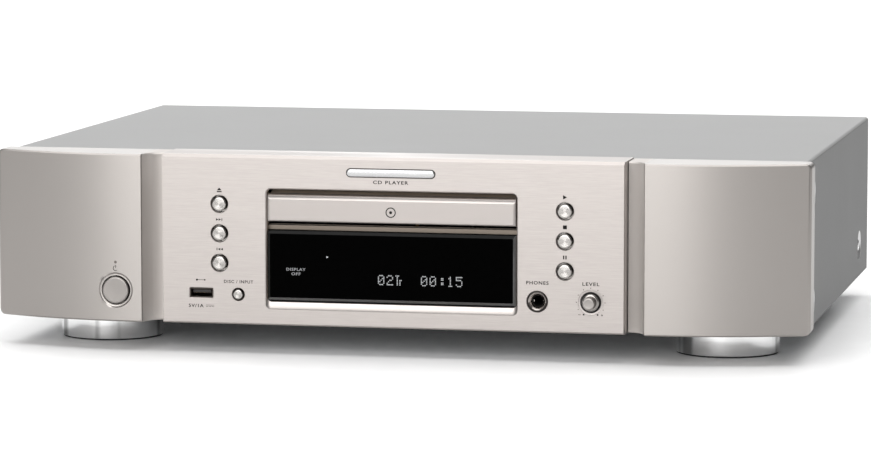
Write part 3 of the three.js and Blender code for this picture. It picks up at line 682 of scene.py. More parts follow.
def repeat_tree():
    """Puts a copy of one piece on every vertex, turned so that its Z follows the vertex's facing attribute."""
    name = "Repeat on points"
    if name in bpy.data.node_groups:
        return bpy.data.node_groups[name]
    sockets = (("Piece", "NodeSocketObject"), ("Size", "NodeSocketFloat"), ("Spread", "NodeSocketFloat"))
    tree, start, end = node_group(name, (*sockets, ("Seed", "NodeSocketInt"), ("Finish", "NodeSocketMaterial")))
    new = tree.nodes.new
    points, info = new("GeometryNodeMeshToPoints"), new("GeometryNodeObjectInfo")
    instances = new("GeometryNodeInstanceOnPoints")
    facing, align = new("GeometryNodeInputNamedAttribute"), new("FunctionNodeAlignRotationToVector")
    turn, spin = new("FunctionNodeRandomValue"), new("GeometryNodeRotateInstances")
    realize, paint = new("GeometryNodeRealizeInstances"), new("GeometryNodeSetMaterial")
    facing.data_type = "FLOAT_VECTOR"
    facing.inputs["Name"].default_value = "facing"
    align.axis = "Z"
    turn.data_type = "FLOAT_VECTOR"
    negative = new("ShaderNodeMath")
    negative.operation = "MULTIPLY"
    negative.inputs[1].default_value = -1.0
    low, high = new("ShaderNodeCombineXYZ"), new("ShaderNodeCombineXYZ")
    join(
        tree,
        (start.outputs["Geometry"], points.inputs["Mesh"]),
        (start.outputs["Piece"], info.inputs["Object"]),
        (points.outputs["Points"], instances.inputs["Points"]),
        (info.outputs["Geometry"], instances.inputs["Instance"]),
        (facing.outputs["Attribute"], align.inputs["Vector"]),
        (align.outputs["Rotation"], instances.inputs["Rotation"]),
        (start.outputs["Size"], instances.inputs["Scale"]),
        (start.outputs["Spread"], negative.inputs[0]),
        (negative.outputs[0], low.inputs["Z"]),
        (start.outputs["Spread"], high.inputs["Z"]),
        (low.outputs[0], turn.inputs["Min"]),
        (high.outputs[0], turn.inputs["Max"]),
        (start.outputs["Seed"], turn.inputs["Seed"]),
        (instances.outputs["Instances"], spin.inputs["Instances"]),
        (turn.outputs["Value"], spin.inputs["Rotation"]),
        (spin.outputs["Instances"], realize.inputs["Geometry"]),
        (realize.outputs["Geometry"], paint.inputs["Geometry"]),
        (start.outputs["Finish"], paint.inputs["Material"]),
        (paint.outputs["Geometry"], end.inputs["Geometry"]),
    )
    return tree


def set_input(modifier, label, value):
    """Sets a modifier's input by the identifier of its socket."""
    for item in modifier.node_group.interface.items_tree:
        if item.item_type == "SOCKET" and item.in_out == "INPUT" and item.name == label:
            modifier[item.identifier] = value


def repeated(name, sample, places, material, spread=0.0, seed=1):
    """Copies of sample at (point, facing) places, as one plain mesh.

    The sample is made round the origin, its top along +Z.
    """
    mesh = bpy.data.meshes.new(name)
    mesh.from_pydata([TO_FRAME @ Vector(point) for point, _ in places], [], [])
    facing = mesh.attributes.new("facing", "FLOAT_VECTOR", "POINT")
    for item, (_, direction) in zip(facing.data, places):
        item.vector = direction
    piece = placed(name, mesh)
    modifier = piece.modifiers.new("Repeat", "NODES")
    modifier.node_group = repeat_tree()
    inputs = {"Piece": sample, "Size": 1.0, "Spread": spread, "Seed": seed, "Finish": finish(material)}
    for label, value in inputs.items():
        set_input(modifier, label, value)
    bake(piece)
    bpy.data.objects.remove(sample)
    return settle(piece)


def sample_piece(form, name="sample"):
    """A piece made round the origin, for repeating."""
    return placed(name, form.mesh(name, Matrix.Scale(MM, 4)))


def screw_sample(radius, height, sides=24):
    """A domed screw head with a cross recess, standing on its own base plane."""
    form = Form()
    arm, half, depth = radius * 0.56, radius * 0.13, height * 0.55
    dome = ((1, 0), (1, 0.35), (0.9, 0.62), (0.74, 0.85))
    rings = [form.ring([(x, y, height * z) for x, y in circle((0, 0), radius * r, sides)]) for r, z in dome]
    form.skins(rings)
    cross = []
    for quarter in range(4):
        cosine, sine = math.cos(quarter * math.pi / 2), math.sin(quarter * math.pi / 2)
        for x, y in ((arm, -half), (arm, half), (half, half)):
            cross.append((x * cosine - y * sine, x * sine + y * cosine))
    top = form.ring([(x, y, height) for x, y in cross])
    foot = form.ring([(x * 0.7, y * 0.7, height - depth) for x, y in cross])
    form.skin(top, foot)
    form.fill(foot)
    rim = form.ring([(x, y, height) for x, y in circle((0, 0), radius * 0.62, sides)])
    form.skin(rings[-1], rim)
    form.fill(rim, top)
    form.fill(rings[0])
    return sample_piece(form)


# ---- Front ----


def make_front_panel():
    size = sizes()
    top, bottom = size.top_bevel / MM, size.bottom_bevel / MM
    slope = size.window_bevel / MM
    corner = size.window_radius / MM
    hole, rim = size.key_hole / MM, size.key_bevel / MM
    form = Form()
    inner = rounded((-HALF_PANEL + 0.4, bottom), (HALF_PANEL - 0.4, PANEL_TOP - top), 0.1, 2)
    outer = rounded((-HALF_PANEL, 0), (HALF_PANEL, PANEL_TOP), 0.3, 2)
    edge = [(inner, 0), (outer, lambda u, v: top if v > PANEL_TOP / 2 else bottom), (outer, PLATE)]

    def window(grow, sill):
        half = WINDOW_HALF + grow
        return rounded((-half, sill - grow), (half, WINDOW_HIGH + grow), corner + grow, 8)

    front, back = (window(slope, WINDOW_LOW), 0), (window(0, WINDOW_SILL), PLATE)
    holes = [[front, (window(0, WINDOW_LOW + 0.3), slope), (window(0, WINDOW_SILL - 0.3), 1.5), back]]

    def round_hole(x, z, radius, ease, sides=64):
        steps = ((radius + ease, 0), (radius, ease), (radius, PLATE))
        return [(circle((x, z), reach, sides), depth) for reach, depth in steps]

    for key in KEYS:
        at = middle(f"{key}_button")
        holes.append(round_hole(at.x, at.z, hole, rim))
    at = middle("input_button")
    holes.append(round_hole(at.x, at.z, 3.35, 0.3, 48))
    at = middle("phones_jack")
    holes.append(round_hole(at.x, at.z, 5.6, 0.2))
    at = middle("level_knob")
    seat = [(6.75, 0), (6.6, 0.14), (5.65, 0.2), (5.5, 0.4), (5.5, PLATE)]
    holes.append([(circle((at.x, at.z), radius), depth) for radius, depth in seat])
    at = middle("usb_socket")

    def usb(grow):
        wide, tall = 6.42 + grow, 2.62 + grow
        return rounded((at.x - wide, at.z - tall), (at.x + wide, at.z + tall), 0.5 + grow, 3)

    holes.append([(usb(0.25), 0), (usb(0), 0.25), (usb(0), PLATE)])
    form.plate(edge, holes)
    wall = 3.0
    side, roof = HALF_PANEL - wall, PANEL_TOP - wall
    arch = [(-HALF_PANEL, 0), (-HALF_PANEL, PANEL_TOP), (HALF_PANEL, PANEL_TOP), (HALF_PANEL, 0)]
    form.prism([*arch, (side, 0), (side, roof), (-side, roof), (-side, 0)], PLATE, FRONT_DEPTH)
    # The window's reveal faces take a lighter, less metallic finish: painted light on faces that little light
    # reaches.
    for face in form.bm.faces:
        at = face.calc_center_median()
        in_window = abs(at.x) < WINDOW_HALF + 0.01 and WINDOW_SILL + 1 < at.z < WINDOW_HIGH + 0.01
        if in_window and 0.4 < at.y < PLATE - 0.1:
            face.material_index = 1
    finishes = ["brushed_champagne", "reveal_metal"]
    form.piece("front_plate", finishes, stands_for=["front_panel"], slot="front_aluminium")


def arc_y(x):
    """How far back an end panel's face lies at x."""
    if x < RIDGE_X:
        across = (x - COVE_X) / (RIDGE_X - COVE_X)
        return arc_y(RIDGE_X) + COVE_DEPTH * math.sqrt(max(0.0, 1 - across * across))
    return ARC_Y + (x - ARC_X) ** 2 / (2 * ARC_RADIUS)


COVE_STEPS = 12
PATCH_STEPS = 16
ARC_STEPS = 22
CORNER_STEPS = 6


def end_columns(inset, patch):
    """(x, lowest z, highest z) across an end panel whose edges are drawn in by inset.

    patch is the (lowest, highest) x of a square round the power key, or None.
    """
    spots = [COVE_X + (RIDGE_X - COVE_X) * math.sin(math.pi / 2 * i / COVE_STEPS) for i in range(COVE_STEPS)]
    spots += [RIDGE_X - 0.02, RIDGE_X + 0.4, RIDGE_X + 2]
    start, last = spots[-1], HALF_WIDTH - CORNER
    if patch:
        low, start = patch
        spots += [low + (start - low) * i / PATCH_STEPS for i in range(PATCH_STEPS + 1)]
    spots += [start + (last - start) * i / ARC_STEPS for i in range(1, ARC_STEPS + 1)]
    columns = [(x, inset, END_TOP - inset) for x in spots]
    for i in range(1, CORNER_STEPS + 1):
        angle = math.pi / 2 * i / CORNER_STEPS
        margin = inset + (CORNER - inset) * (1 - math.cos(angle))
        columns.append((last + (CORNER - inset) * math.sin(angle), margin, END_TOP - margin))
    return columns


def square_ring(low, high):
    """Points round a square, anticlockwise from its lower left corner."""
    (u0, v0), (u1, v1) = low, high
    along = [i / PATCH_STEPS for i in range(PATCH_STEPS)]
    points = [(u0 + (u1 - u0) * t, v0) for t in along]
    points += [(u1, v0 + (v1 - v0) * t) for t in along]
    points += [(u1 - (u1 - u0) * t, v1) for t in along]
    return points + [(u0, v1 - (v1 - v0) * t) for t in along]


# The ring round the power key: the radius where it meets the panel, then (radius, depth) inwards.
POWER_RIM = 9.45
POWER_RING = ((9.15, -1.95), (8.9, -1.75), (8.3, -1.62), (7.95, -1.7), (7.75, -1.5), (7.75, 6.0), (0, 6.0))
POWER_PATCH = 11.2
RIM_START = math.radians(225)


def make_end_panel(side, button=None):
    """One end panel. button is the (x, z) centre of a round recess, or None."""
    form = Form()
    bevel = sizes().end_bevel / MM
    patch = (button[0] - POWER_PATCH, button[0] + POWER_PATCH) if button else None

    def loop(inset, extra):
        columns = end_columns(inset, patch)
        low = form.ring([(side * x, arc_y(x) + extra, z) for x, z, _ in columns])
        high = form.ring([(side * x, arc_y(x) + extra, z) for x, _, z in columns])
        return low, high

    low, high = loop(bevel, 0)
    inner_low, inner_high = loop(0, bevel)
    back_low, back_high = loop(0, 0)
    for vertex in (*back_low, *back_high):
        vertex.co.y = FRONT_DEPTH
    back = back_low + back_high[::-1]
    form.skins([low + high[::-1], inner_low + inner_high[::-1], back])
    form.fill(back)
    columns = end_columns(bevel, patch)
    if button:
        first = next(i for i, column in enumerate(columns) if abs(column[0] - patch[0]) < 1e-6)
        x, z = button
        around = square_ring((patch[0], z - POWER_PATCH), (patch[1], z + POWER_PATCH))
        ring = form.ring([(side * u, arc_y(u), v) for u, v in around])
        outer = ring
        hole = circle(button, POWER_RIM, len(around), RIM_START)
        for share in (0.25, 0.5, 0.75, 1.0):
            mixed = [(u + (a - u) * share, v + (b - v) * share) for (u, v), (a, b) in zip(around, hole)]
            inward = form.ring([(side * u, arc_y(u), v) for u, v in mixed])
            form.skin(outer, inward)
            outer = inward
        for radius, depth in POWER_RING:
            points = circle(button, radius, len(around), RIM_START) if radius else [button]
            inward = form.ring([(side * u, depth, v) for u, v in points])
            form.skin(outer, inward)
            outer = inward
    for i in range(len(columns) - 1):
        if not button or i < first - 1 or i > first + PATCH_STEPS:
            form.face((low[i], low[i + 1], high[i + 1], high[i]))
        elif i == first - 1:
            form.face((low[i], low[i + 1], *[ring[0], *ring[:47:-1]], high[i + 1], high[i]))
        elif i == first + PATCH_STEPS:
            form.face((low[i], low[i + 1], high[i + 1], high[i], *ring[32:15:-1]))
        else:
            step = i - first
            form.face((low[i], low[i + 1], ring[step + 1], ring[step]))
            form.face((ring[48 - step], ring[47 - step], high[i + 1], high[i]))
    # Faces in the cove take a lighter, less metallic copy of the end aluminium: painted light in the hollow.
    for face in form.bm.faces:
        at = face.calc_center_median()
        if abs(at.x) < RIDGE_X - 0.02 and at.y < FRONT_DEPTH - 1:
            face.material_index = 1
    name = "right_end" if side > 0 else "left_end"
    finishes = ["silky_champagne", "cove_metal"]
    form.piece(f"{name}_shell", finishes, stands_for=[f"{name}_panel"], slot="end_aluminium")


def make_ends():
    make_end_panel(1)
    power = middle("power_button")
    make_end_panel(-1, (-power.x, power.z))


def key_profile(radius, front, bevel, back, pitch=0.0):
    """A dished face, a rounded rim, then the body. With a pitch, the face keeps its turning grooves."""
    edge = radius - bevel * 1.5
    face = [(0, front + 0.1), (edge * 0.5, front + 0.08), (edge, front)]
    if pitch:
        count = 4 * round(edge / pitch)
        dish = 0.06
        waves = ((edge * i / count, math.sin(math.pi / 2 * i)) for i in range(1, count + 1))
        grooves = ((r, front + dish * (1 - r / edge) + dish * pitch * wave) for r, wave in waves)
        face = [(0, front + dish), *grooves]
    turns = (0, 0.4, 0.8, 1.2, math.pi / 2)
    rim = [(radius - bevel + bevel * math.sin(a), front + bevel * (1 - math.cos(a))) for a in turns]
    return [*face, *rim, (radius, back), (0, back)]


GROOVE_PITCH = 0.36


def make_keys():
    for key in (*KEYS, "input"):
        node = f"{key}_button"
        low, high = spot(node)
        at = middle(node)
        form = Form()
        if key == "input":
            form.turned(key_profile(2.6, low.y, 0.5, high.y, GROOVE_PITCH), (at.x, at.z), sides=40)
        else:
            flange, back = high.y - 8.2, high.y - 8
            form.turned(key_profile(3.8, low.y, 0.7, back, GROOVE_PITCH), (at.x, at.z), sides=48)
            stem = [(0, flange), (5.2, flange), (5.2, back), (1.6, back), (1.6, high.y), (0, high.y)]
            form.turned(stem, (at.x, at.z), sides=32)
        form.piece(f"{key}_key", ["spun_aluminium"], node, [node], "key_aluminium")


def make_power():
    low, high = spot("power_button")
    at = middle("power_button")
    form = Form()
    form.turned(key_profile(7.2, low.y, 0.7, high.y - 4), (at.x, at.z), sides=96)
    form.turned([(0, high.y - 5), (2.5, high.y - 5), (2.5, high.y), (0, high.y)], (at.x, at.z), sides=32)
    form.piece("power_key", ["power_metal"], "power_button", ["power_button"], "key_aluminium")
    form = Form()
    lamp = [(0, -2.55), (0.45, -2.5), (0.75, -2.36), (0.8, -2.2), (0.8, 1.0), (0, 1.0)]
    form.turned(lamp, (at.x, at.z + 15.0), sides=24)
    form.piece("standby_lamp", ["smoked_lamp"])


def make_level():
    at = middle("level_knob")
    low, high = spot("level_knob")
    form = Form()
    grip = [(0, 0.1), (2.2, 0.05), (2.7, 0), (2.95, 0.08), (3.15, 0.35)]
    flange = [(3.2, -1.6), (3.4, -1.2), (4.1, -1.1), (4.5, -0.8), (4.65, -0.3), (4.65, high.y), (0, high.y)]
    form.turned([*((radius, low.y + depth) for radius, depth in grip), *flange], (at.x, at.z))
    for face in form.bm.faces:
        if face.calc_center_median().y > -1.3:
            face.material_index = 1
    form.piece("level_knob_cap", ["knob_metal", "flange_metal"], "level_knob", ["level_knob"], "polished_metal")
    # A near-black ring deep in the gap round the knob: painted shade.
    well = Form()
    well.turned([(4.9, 1.1), (5.48, 1.1), (5.48, 3.0), (4.9, 3.0), (4.9, 1.1)], (at.x, at.z))
    well.piece("level_collar", ["dark_well"])


def make_sockets():
    at = middle("usb_socket")
    x, z = at.x, at.z
    form = Form()
    # The shell's steel is darkened: painted shade inside the socket.
    shell_out = rounded((x - 6.2, z - 2.4), (x + 6.2, z + 2.4), 0.5, 3)
    shell_in = rounded((x - 5.85, z - 2.05), (x + 5.85, z + 2.05), 0.3, 3)
    form.plate([(shell_out, 0.25), (shell_out, 17)], [[(shell_in, 0.25), (shell_in, 17)]])
    form.block((x - 6.0, 16.9, z - 2.2), (x + 6.0, 17.6, z + 2.2), 0.1, 1)
    form.paint = 1
    form.block((x - 4.9, 1.5, z - 0.1), (x + 4.9, 17, z + 1.5), 0.15)
    form.paint = 2
    for i in range(4):
        left = x - 3.6 + i * 2.1
        form.block((left, 2.2, z - 0.22), (left + 0.9, 12, z - 0.05), 0.04, 1)
    form.paint = 0
    for side in (-1, 1):
        form.block((x + side * 3.2 - 0.9, 2.2, z - 2.35), (x + side * 3.2 + 0.9, 7, z - 1.95), 0.12)
    finishes = ["usb_shell", "dark_well", "contact_gold"]
    form.piece("usb_port", finishes, stands_for=["usb_socket"], slot="socket_steel")
    at = middle("phones_jack")
    x, z = at.x, at.z
    form = Form()
    rim = [(4.7, -0.3), (5.0, -0.5), (5.3, -0.42), (5.45, -0.1), (5.45, 5.0), (4.7, 5.0)]
    form.turned([(4.7, 2.0), *rim, (4.7, 2.0)], (x, z))
    form.paint = 1
    cone = [(4.7, -0.2), (4.35, 0.0), (3.5, 1.1), (3.25, 1.5), (3.2, 2.0), (3.2, 30), (4.7, 30), (4.7, -0.2)]
    form.turned(cone, (x, z))
    form.paint = 2
    form.turned([(0, 30), (3.6, 30), (3.6, 31), (0, 31), (0, 30)], (x, z), sides=32)
    form.turned([(3.19, 2.2), (3.19, 29.9), (2.9, 29.9), (2.9, 2.6), (3.19, 2.2)], (x, z))
    form.paint = 1
    form.block((x - 2.6, 3.5, z - 0.7), (x - 1.9, 9, z + 0.7), 0.2)
    form.block((x + 1.9, 6.5, z - 0.7), (x + 2.6, 12, z + 0.7), 0.2)
    finishes = ["black_nickel", "grey_nickel", "dark_well"]
    form.piece("phones_bush", finishes, stands_for=["phones_jack"], slot="polished_metal")


# ---- Drawer and display ----


def make_drawer_front():
    low, high = spot("drawer_front")
    reach = sizes().drawer_bevel / MM
    centre = (low.z + high.z) / 2
    # Shares of the bevel: inset at the ends and below, height above the flat face, depth above it and elsewhere
    bends = (
        (0.45, 0.25, 0, 0, 0),
        (0.1, 0.05, 0.3, 0.109, 0.15),
        (0.08, 0.04, 0.567, 0.263, 0.2),
        (0.06, 0.03, 0.75, 0.417, 0.24),
        (0.04, 0.02, 0.867, 0.566, 0.28),
        (0.02, 0.01, 0.95, 0.737, 0.34),
        (0, 0, 1, 1, 0.4),
    )
    edge = []
    for ends, below, above, deep, shallow in bends:
        bottom = (low.x + reach * ends, low.z + reach * below)
        outline = rounded(bottom, (high.x - reach * ends, high.z - reach * (1 - above)), 0.05, 2)

        def depth(u, v, deep=deep, shallow=shallow):
            return low.y + reach * (deep if v > centre else shallow)

        edge.append((outline, depth))
    edge.append((outline, high.y))
    form = Form()
    form.plate(edge)
    form.piece("drawer_face", ["drawer_metal"], "tray", ["drawer_front"], "front_aluminium", angle=SHARP_ANGLE)
    form = Form()
    near, far = high.y - 0.1, high.y + 5
    lip = [(near, high.z - 0.6), (near, high.z), (far, high.z + 1.5), (far, high.z + 0.9)]
    form.prism(lip, low.x + 1, high.x - 1, "yz")
    form.piece("drawer_lip", ["lip_paint"], "tray", slot="front_aluminium")
    form = Form()
    z, front, back = low.z + 5.95, -0.03, 0.1
    form.turned([(2.2, front), (2.75, front), (2.75, back), (2.2, back), (2.2, front)], (0, z), sides=48)
    form.turned([(0, front), (0.8, front), (0.8, back), (0, back)], (0, z), sides=32)
    form.piece("drawer_mark", ["grey_ink"], "tray")


def make_tray():
    """The drawer's tray: a plate with a stepped dish, cut through by a slot, on toothed rails."""
    low, high = spot("disc_tray")
    puck = middle("clamp_puck")
    centre = (0, puck.y)
    form = Form()
    steps = ((60.9, 0), (60.0, 2.2), (40.8, 2.2), (40.2, 3.1), (22.0, 3.1), (22.0, 4.5))
    outline = rounded((low.x, low.y), (high.x, high.y), 0.3, 2)
    dish = [(circle(centre, radius, 128), high.z - depth) for radius, depth in steps]
    thick = 4.5
    form.plate([(outline, high.z), (outline, high.z - thick)], [dish], "xy")
    plate = form.raw("tray_plate", ["black_plastic"])
    slot = Form()
    slot.block((-18, puck.y, 50), (18, puck.y + 68, 70), 4.0, 5)
    cutter = slot.raw("cutter")
    cut = plate.modifiers.new("Cut", "BOOLEAN")
    cut.operation, cut.solver, cut.object = "DIFFERENCE", "EXACT", cutter
    bevel = plate.modifiers.new("Ease", "BEVEL")
    bevel.width, bevel.segments = 0.3 * MM, 2
    bevel.limit_method, bevel.angle_limit = "ANGLE", math.radians(40)
    bevel.use_clamp_overlap = True
    bake(plate)
    bpy.data.objects.remove(cutter)
    settle(plate, "tray", ["disc_tray"])
    form = Form()
    for x in (-62.75, 62.75):
        form.block((x - 1.75, low.y, low.z + 0.3), (x + 1.75, high.y, high.z - thick), 0.3)
    pitch = math.pi
    gear = middle("drive_gear")
    form.block((47.4, low.y + 12, high.z - 8.8), (50.5, high.y - 1, high.z - 4.4), 0.1, 1)
    for k in range(-3, 45):
        y = gear.y + k * pitch
        tooth = [(47.5, y + 1.1), (45.0, y + 0.34), (45.0, y - 0.34), (47.5, y - 1.1)]
        form.prism(tooth, high.z - 8.8, high.z - thick, "xy")
    form.piece("tray_rails", ["black_plastic"], "tray", slot="black_plastic")


GLYPHS = {
    "0": "01110 10001 10011 10101 11001 10001 01110",
    "1": "00100 01100 00100 00100 00100 00100 01110",
    "2": "01110 10001 00001 00110 01000 10000 11111",
    "5": "11111 10000 11110 00001 00001 10001 01110",
    ":": "00000 00110 00110 00000 00110 00110 00000",
    "T": "11100 01000 01000 01000 01000 01000 01000",
    "r": "00000 00000 00000 11000 10000 10000 10000",
    ">": "10000 11000 11110 11111 11110 11000 10000",
}


def make_display():
    low, high = spot("display_window")
    bevel = sizes().display_bevel / MM
    base = high.z - 37.0
    form = Form()
    wide = DRAWER_HALF - bevel
    front = rounded((-wide, base + bevel), (wide, high.z - bevel), 0.05, 2)
    edge = rounded((-DRAWER_HALF, base), (DRAWER_HALF, high.z), 0.3, 2)
    form.paint = 1
    first, last = form.steps([(front, low.y), (edge, low.y + bevel), (edge, high.y)])
    # The lower and right chamfers take a lighter acrylic: painted reflection.
    for face in form.bm.faces:
        centre = face.calc_center_median()
        if centre.z < base + bevel or centre.x > DRAWER_HALF - bevel:
            face.material_index = 2
    form.paint = 0
    form.fill(first)
    form.fill(last)
    form.block((low.x, high.y - 1, low.z), (high.x, high.y, base + 2), 0.2)
    finishes = ["black_acrylic", "acrylic_edge", "acrylic_lower_edge"]
    form.piece("display_block", finishes, stands_for=["display_window"], slot="display_acrylic", angle=20)
    settings = bpy.context.scene.player_readout
    dot = settings.dot / MM
    places = []
    pitch_x, pitch_z, line, advance = 0.72, 0.79, 23.2, 4.7
    for text, left in ((settings.track, -6.6), (settings.clock, 16.5)):
        for letter in text:
            for row, bits in enumerate(GLYPHS[letter].split()):
                for column, bit in enumerate(bits):
                    if bit == "1":
                        x, z = left + column * pitch_x, line + (6 - row) * pitch_z
                        places.append(((x, low.y - 0.01, z), (0, -1, 0)))
            left += advance if letter != "T" else pitch_x * 3
    cell = Form()
    cell.block((-dot / 2, -dot / 2, 0), (dot / 2, dot / 2, 0.03))
    repeated("readout_dots", sample_piece(cell), places, "readout_glow")
    form = Form()
    arrow = [(-34.7, 36.5), (-33.7, 37.0), (-34.7, 37.5)]
    form.prism(arrow, low.y - 0.04, low.y + 0.02)
    form.piece("readout_arrow", ["arrow_glow"])
    form = Form()
    print_words(form, "DISPLAY", 1.45, 10.4, (-51.3, 30.1), low.y - 0.02)
    print_words(form, "OFF", 1.45, 5.0, (-51.3, 27.7), low.y - 0.02)
    form.piece("display_label", ["label_glow"])


# ---- Markings ----


def arrow_head(x, z, half, width, way):
    return [(x - way * width / 2, z - half), (x + way * width / 2, z), (x - way * width / 2, z + half)][::way]


PRINT_Y = -0.02  # Where the printed marks' middle lies, just before the panel's face
PRINT_FRONT = PRINT_Y - 0.02
PRINT_BACK = PRINT_Y + 0.05


def make_markings():
    form = Form()

    def solid(outline):
        form.prism(outline, PRINT_FRONT, PRINT_BACK)

    def bar(x0, x1, z0, z1):
        solid([(x0, z0), (x1, z0), (x1, z1), (x0, z1)])

    eject, play = middle("eject_button"), middle("play_button")
    rows = [middle(f"{key}_button").z + 7.35 for key in ("eject", "next", "previous")]
    x = eject.x
    solid([(x - 1.3, rows[0] - 0.15), (x + 1.3, rows[0] - 0.15), (x, rows[0] + 1.25)])
    bar(x - 1.3, x + 1.3, rows[0] - 1.15, rows[0] - 0.55)
    for way, row in ((1, rows[1]), (-1, rows[2])):
        solid(arrow_head(x - way * 1.15, row, 0.65, 1.4, way))
        solid(arrow_head(x + way * 0.3, row, 0.65, 1.4, way))
        bar(*sorted((x + way * 1.2, x + way * 1.6)), row - 0.65, row + 0.65)
    x = play.x
    solid(arrow_head(x, rows[0], 1.15, 2.1, 1))
    bar(x - 1.05, x + 1.05, rows[1] - 1.0, rows[1] + 1.0)
    bar(x - 0.95, x - 0.3, rows[2] - 1.0, rows[2] + 1.0)
    bar(x + 0.3, x + 0.95, rows[2] - 1.0, rows[2] + 1.0)
    usb, phones, level, entry = (middle(n) for n in ("usb_socket", "phones_jack", "level_knob", "input_button"))
    words = (
        ("DISC / INPUT", 1.6, 16.0, (entry.x + 0.2, 22.75)),
        ("5V/1A", 1.7, 8.2, (usb.x - 2.9, 9.45)),
        ("PHONES", 1.75, 11.9, (phones.x + 0.1, 26.2)),
        ("LEVEL", 1.75, 9.0, (level.x + 0.1, 26.2)),
        ("CD PLAYER", 1.75, 19.0, (0, 77.2)),
    )
    for text, height, width, centre in words:
        print_words(form, text, height, width, centre, PRINT_Y)
    bar(usb.x + 2.5, usb.x + 7.0, 9.75, 9.95)
    for i in range(3):
        bar(usb.x + 2.5 + i * 1.6, usb.x + 3.8 + i * 1.6, 8.95, 9.15)
    bar(usb.x - 2.2, usb.x + 1.6, 23.15, 23.4)
    solid(arrow_head(usb.x + 2.1, 23.27, 0.5, 1.0, 1))
    dot = [(0, PRINT_FRONT), (0.55, PRINT_FRONT), (0.55, PRINT_BACK), (0, PRINT_BACK)]
    form.turned(dot, (usb.x - 2.4, 23.27), sides=16)
    bar(level.x - 6.5, level.x - 5.3, level.z - 6.65, level.z - 6.4)
    bar(level.x + 5.4, level.x + 6.6, level.z - 6.65, level.z - 6.4)
    bar(level.x + 5.88, level.x + 6.12, level.z - 7.1, level.z - 5.9)
    for way in (-1, 1):
        bar(level.x + way * 3.7 - 0.42, level.x + way * 3.7 + 0.42, level.z - 6.8, level.z - 6.0)
    form.piece("front_printing", ["grey_ink"])
    places = []
    reach = 7.6
    for step in range(9):
        angle = math.radians(90 + 120 - 30 * step)
        tick_x, tick_z = level.x + reach * math.cos(angle), level.z + reach * math.sin(angle)
        places.append(((tick_x, PRINT_Y, tick_z), (0, -1, 0)))
    tick = Form()
    tick.turned([(0, 0.02), (0.24, 0.02), (0.24, -0.05), (0, -0.05)], axis="z", sides=12)
    repeated("level_ticks", sample_piece(tick), places, "grey_ink")
    x, z = middle("power_button").x, 28.6
    form = Form()
    depth = arc_y(-x) + 0.02
    gap = math.radians(28)
    turns = [math.pi / 2 + gap + (2 * math.pi - 2 * gap) * i / 32 for i in range(33)]
    outer = [(x + 1.45 * math.cos(a), z + 1.45 * math.sin(a)) for a in turns]
    inner = [(x + 1.15 * math.cos(a), z + 1.15 * math.sin(a)) for a in turns]
    stroke = [(x - 0.15, z + 0.2), (x + 0.15, z + 0.2), (x + 0.15, z + 1.7), (x - 0.15, z + 1.7)]
    for outline in (outer + inner[::-1], stroke):
        form.prism(outline, depth - 0.06, depth + 0.02)
    form.piece("standby_symbol", ["grey_ink"])


def make_name_bar():
    low, high = spot("name_bar")
    form = Form()

    def outline(inset, radius=2.09):
        return rounded((low.x + inset, low.z + inset), (high.x - inset, high.z - inset), radius - inset, 10)

    steps = [(outline(inset), low.y + depth) for inset, depth in quarter_round(0.7)]
    form.plate([*steps, (outline(0), high.y)])
    form.piece("name_plate", ["name_chrome"], stands_for=["name_bar"], slot="polished_metal")
    # A thin dark ring round the bar, printed on the panel: painted shade of a recess.
    form = Form()
    form.prism(outline(-0.35, 2.05), -0.03, 0.04)
    form.piece("name_border", ["grey_ink"])


# ---- Case ----


SCREW_SEATS = ((58.0, 70.0), (58.0, 12.5), (283.0, 18.0))
# Steps into a pressed seat: share of its radius, share of its depth.
SEAT_STEPS = ((1.0, 0), (0.965, 0.05), (0.93, 0.18), (0.66, 0.86), (0.62, 0.97), (0.58, 1.0))


def make_cover():
    settings = case()
    fold, seat = settings.fold / MM, settings.seat_radius / MM
    depth = settings.seat_depth / MM
    form = Form()
    turns = [math.pi / 2 * i / 12 for i in range(13)]
    arc = [(COVER_HALF - fold * (1 - math.cos(a)), COVER_TOP - fold * (1 - math.sin(a))) for a in turns]
    profile = [(-x, z) for x, z in arc] + arc[::-1]
    front, rear = (form.ring([(x, y, z) for x, z in profile]) for y in (COVER_FRONT, COVER_REAR))
    form.skin(front, rear, closed=False)
    for side, end in ((-1, 0), (1, -1)):
        feet = form.ring([(side * COVER_HALF, COVER_REAR, 0), (side * COVER_HALF, COVER_FRONT, 0)])
        wall = [front[end], rear[end], *feet]
        dents = []
        for centre in SCREW_SEATS:
            outer = None
            for share, sink in SEAT_STEPS:
                x = side * (COVER_HALF - depth * sink)
                ring = form.ring([(x, u, v) for u, v in circle(centre, seat * share, 48)])
                if outer:
                    form.skin(outer, ring)
                else:
                    dents.append(ring)
                outer = ring
            form.skin(outer, form.ring([(side * (COVER_HALF - depth), *centre)]))
        form.fill(wall, *dents)
    form.tidy()
    # Seat faces take the seat finish; the side walls take a darker copy of the cover's paint, which is painted
    # shade.
    for face in form.bm.faces:
        at = face.calc_center_median()
        in_seat = any(math.hypot(at.y - u, at.z - v) < seat for u, v in SCREW_SEATS)
        if in_seat and len(face.verts) < 5 and COVER_HALF - abs(at.x) > 0.01 and at.z < COVER_TOP - fold:
            face.material_index = 2
        elif at.z < COVER_TOP - fold * 0.6:
            face.material_index = 1
    cover = form.raw("cover_shell", ["cover_paint", "cover_wall_paint", "seat_metal"], SHARP_ANGLE)
    top = max(cover.data.polygons, key=lambda face: face.center.z)
    sheet = cover.modifiers.new("Sheet", "SOLIDIFY")
    sheet.thickness = settings.sheet
    sheet.offset = -1 if top.normal.z > 0 else 1
    bake(cover, SHARP_ANGLE)
    settle(cover, stands_for=["top_cover"])


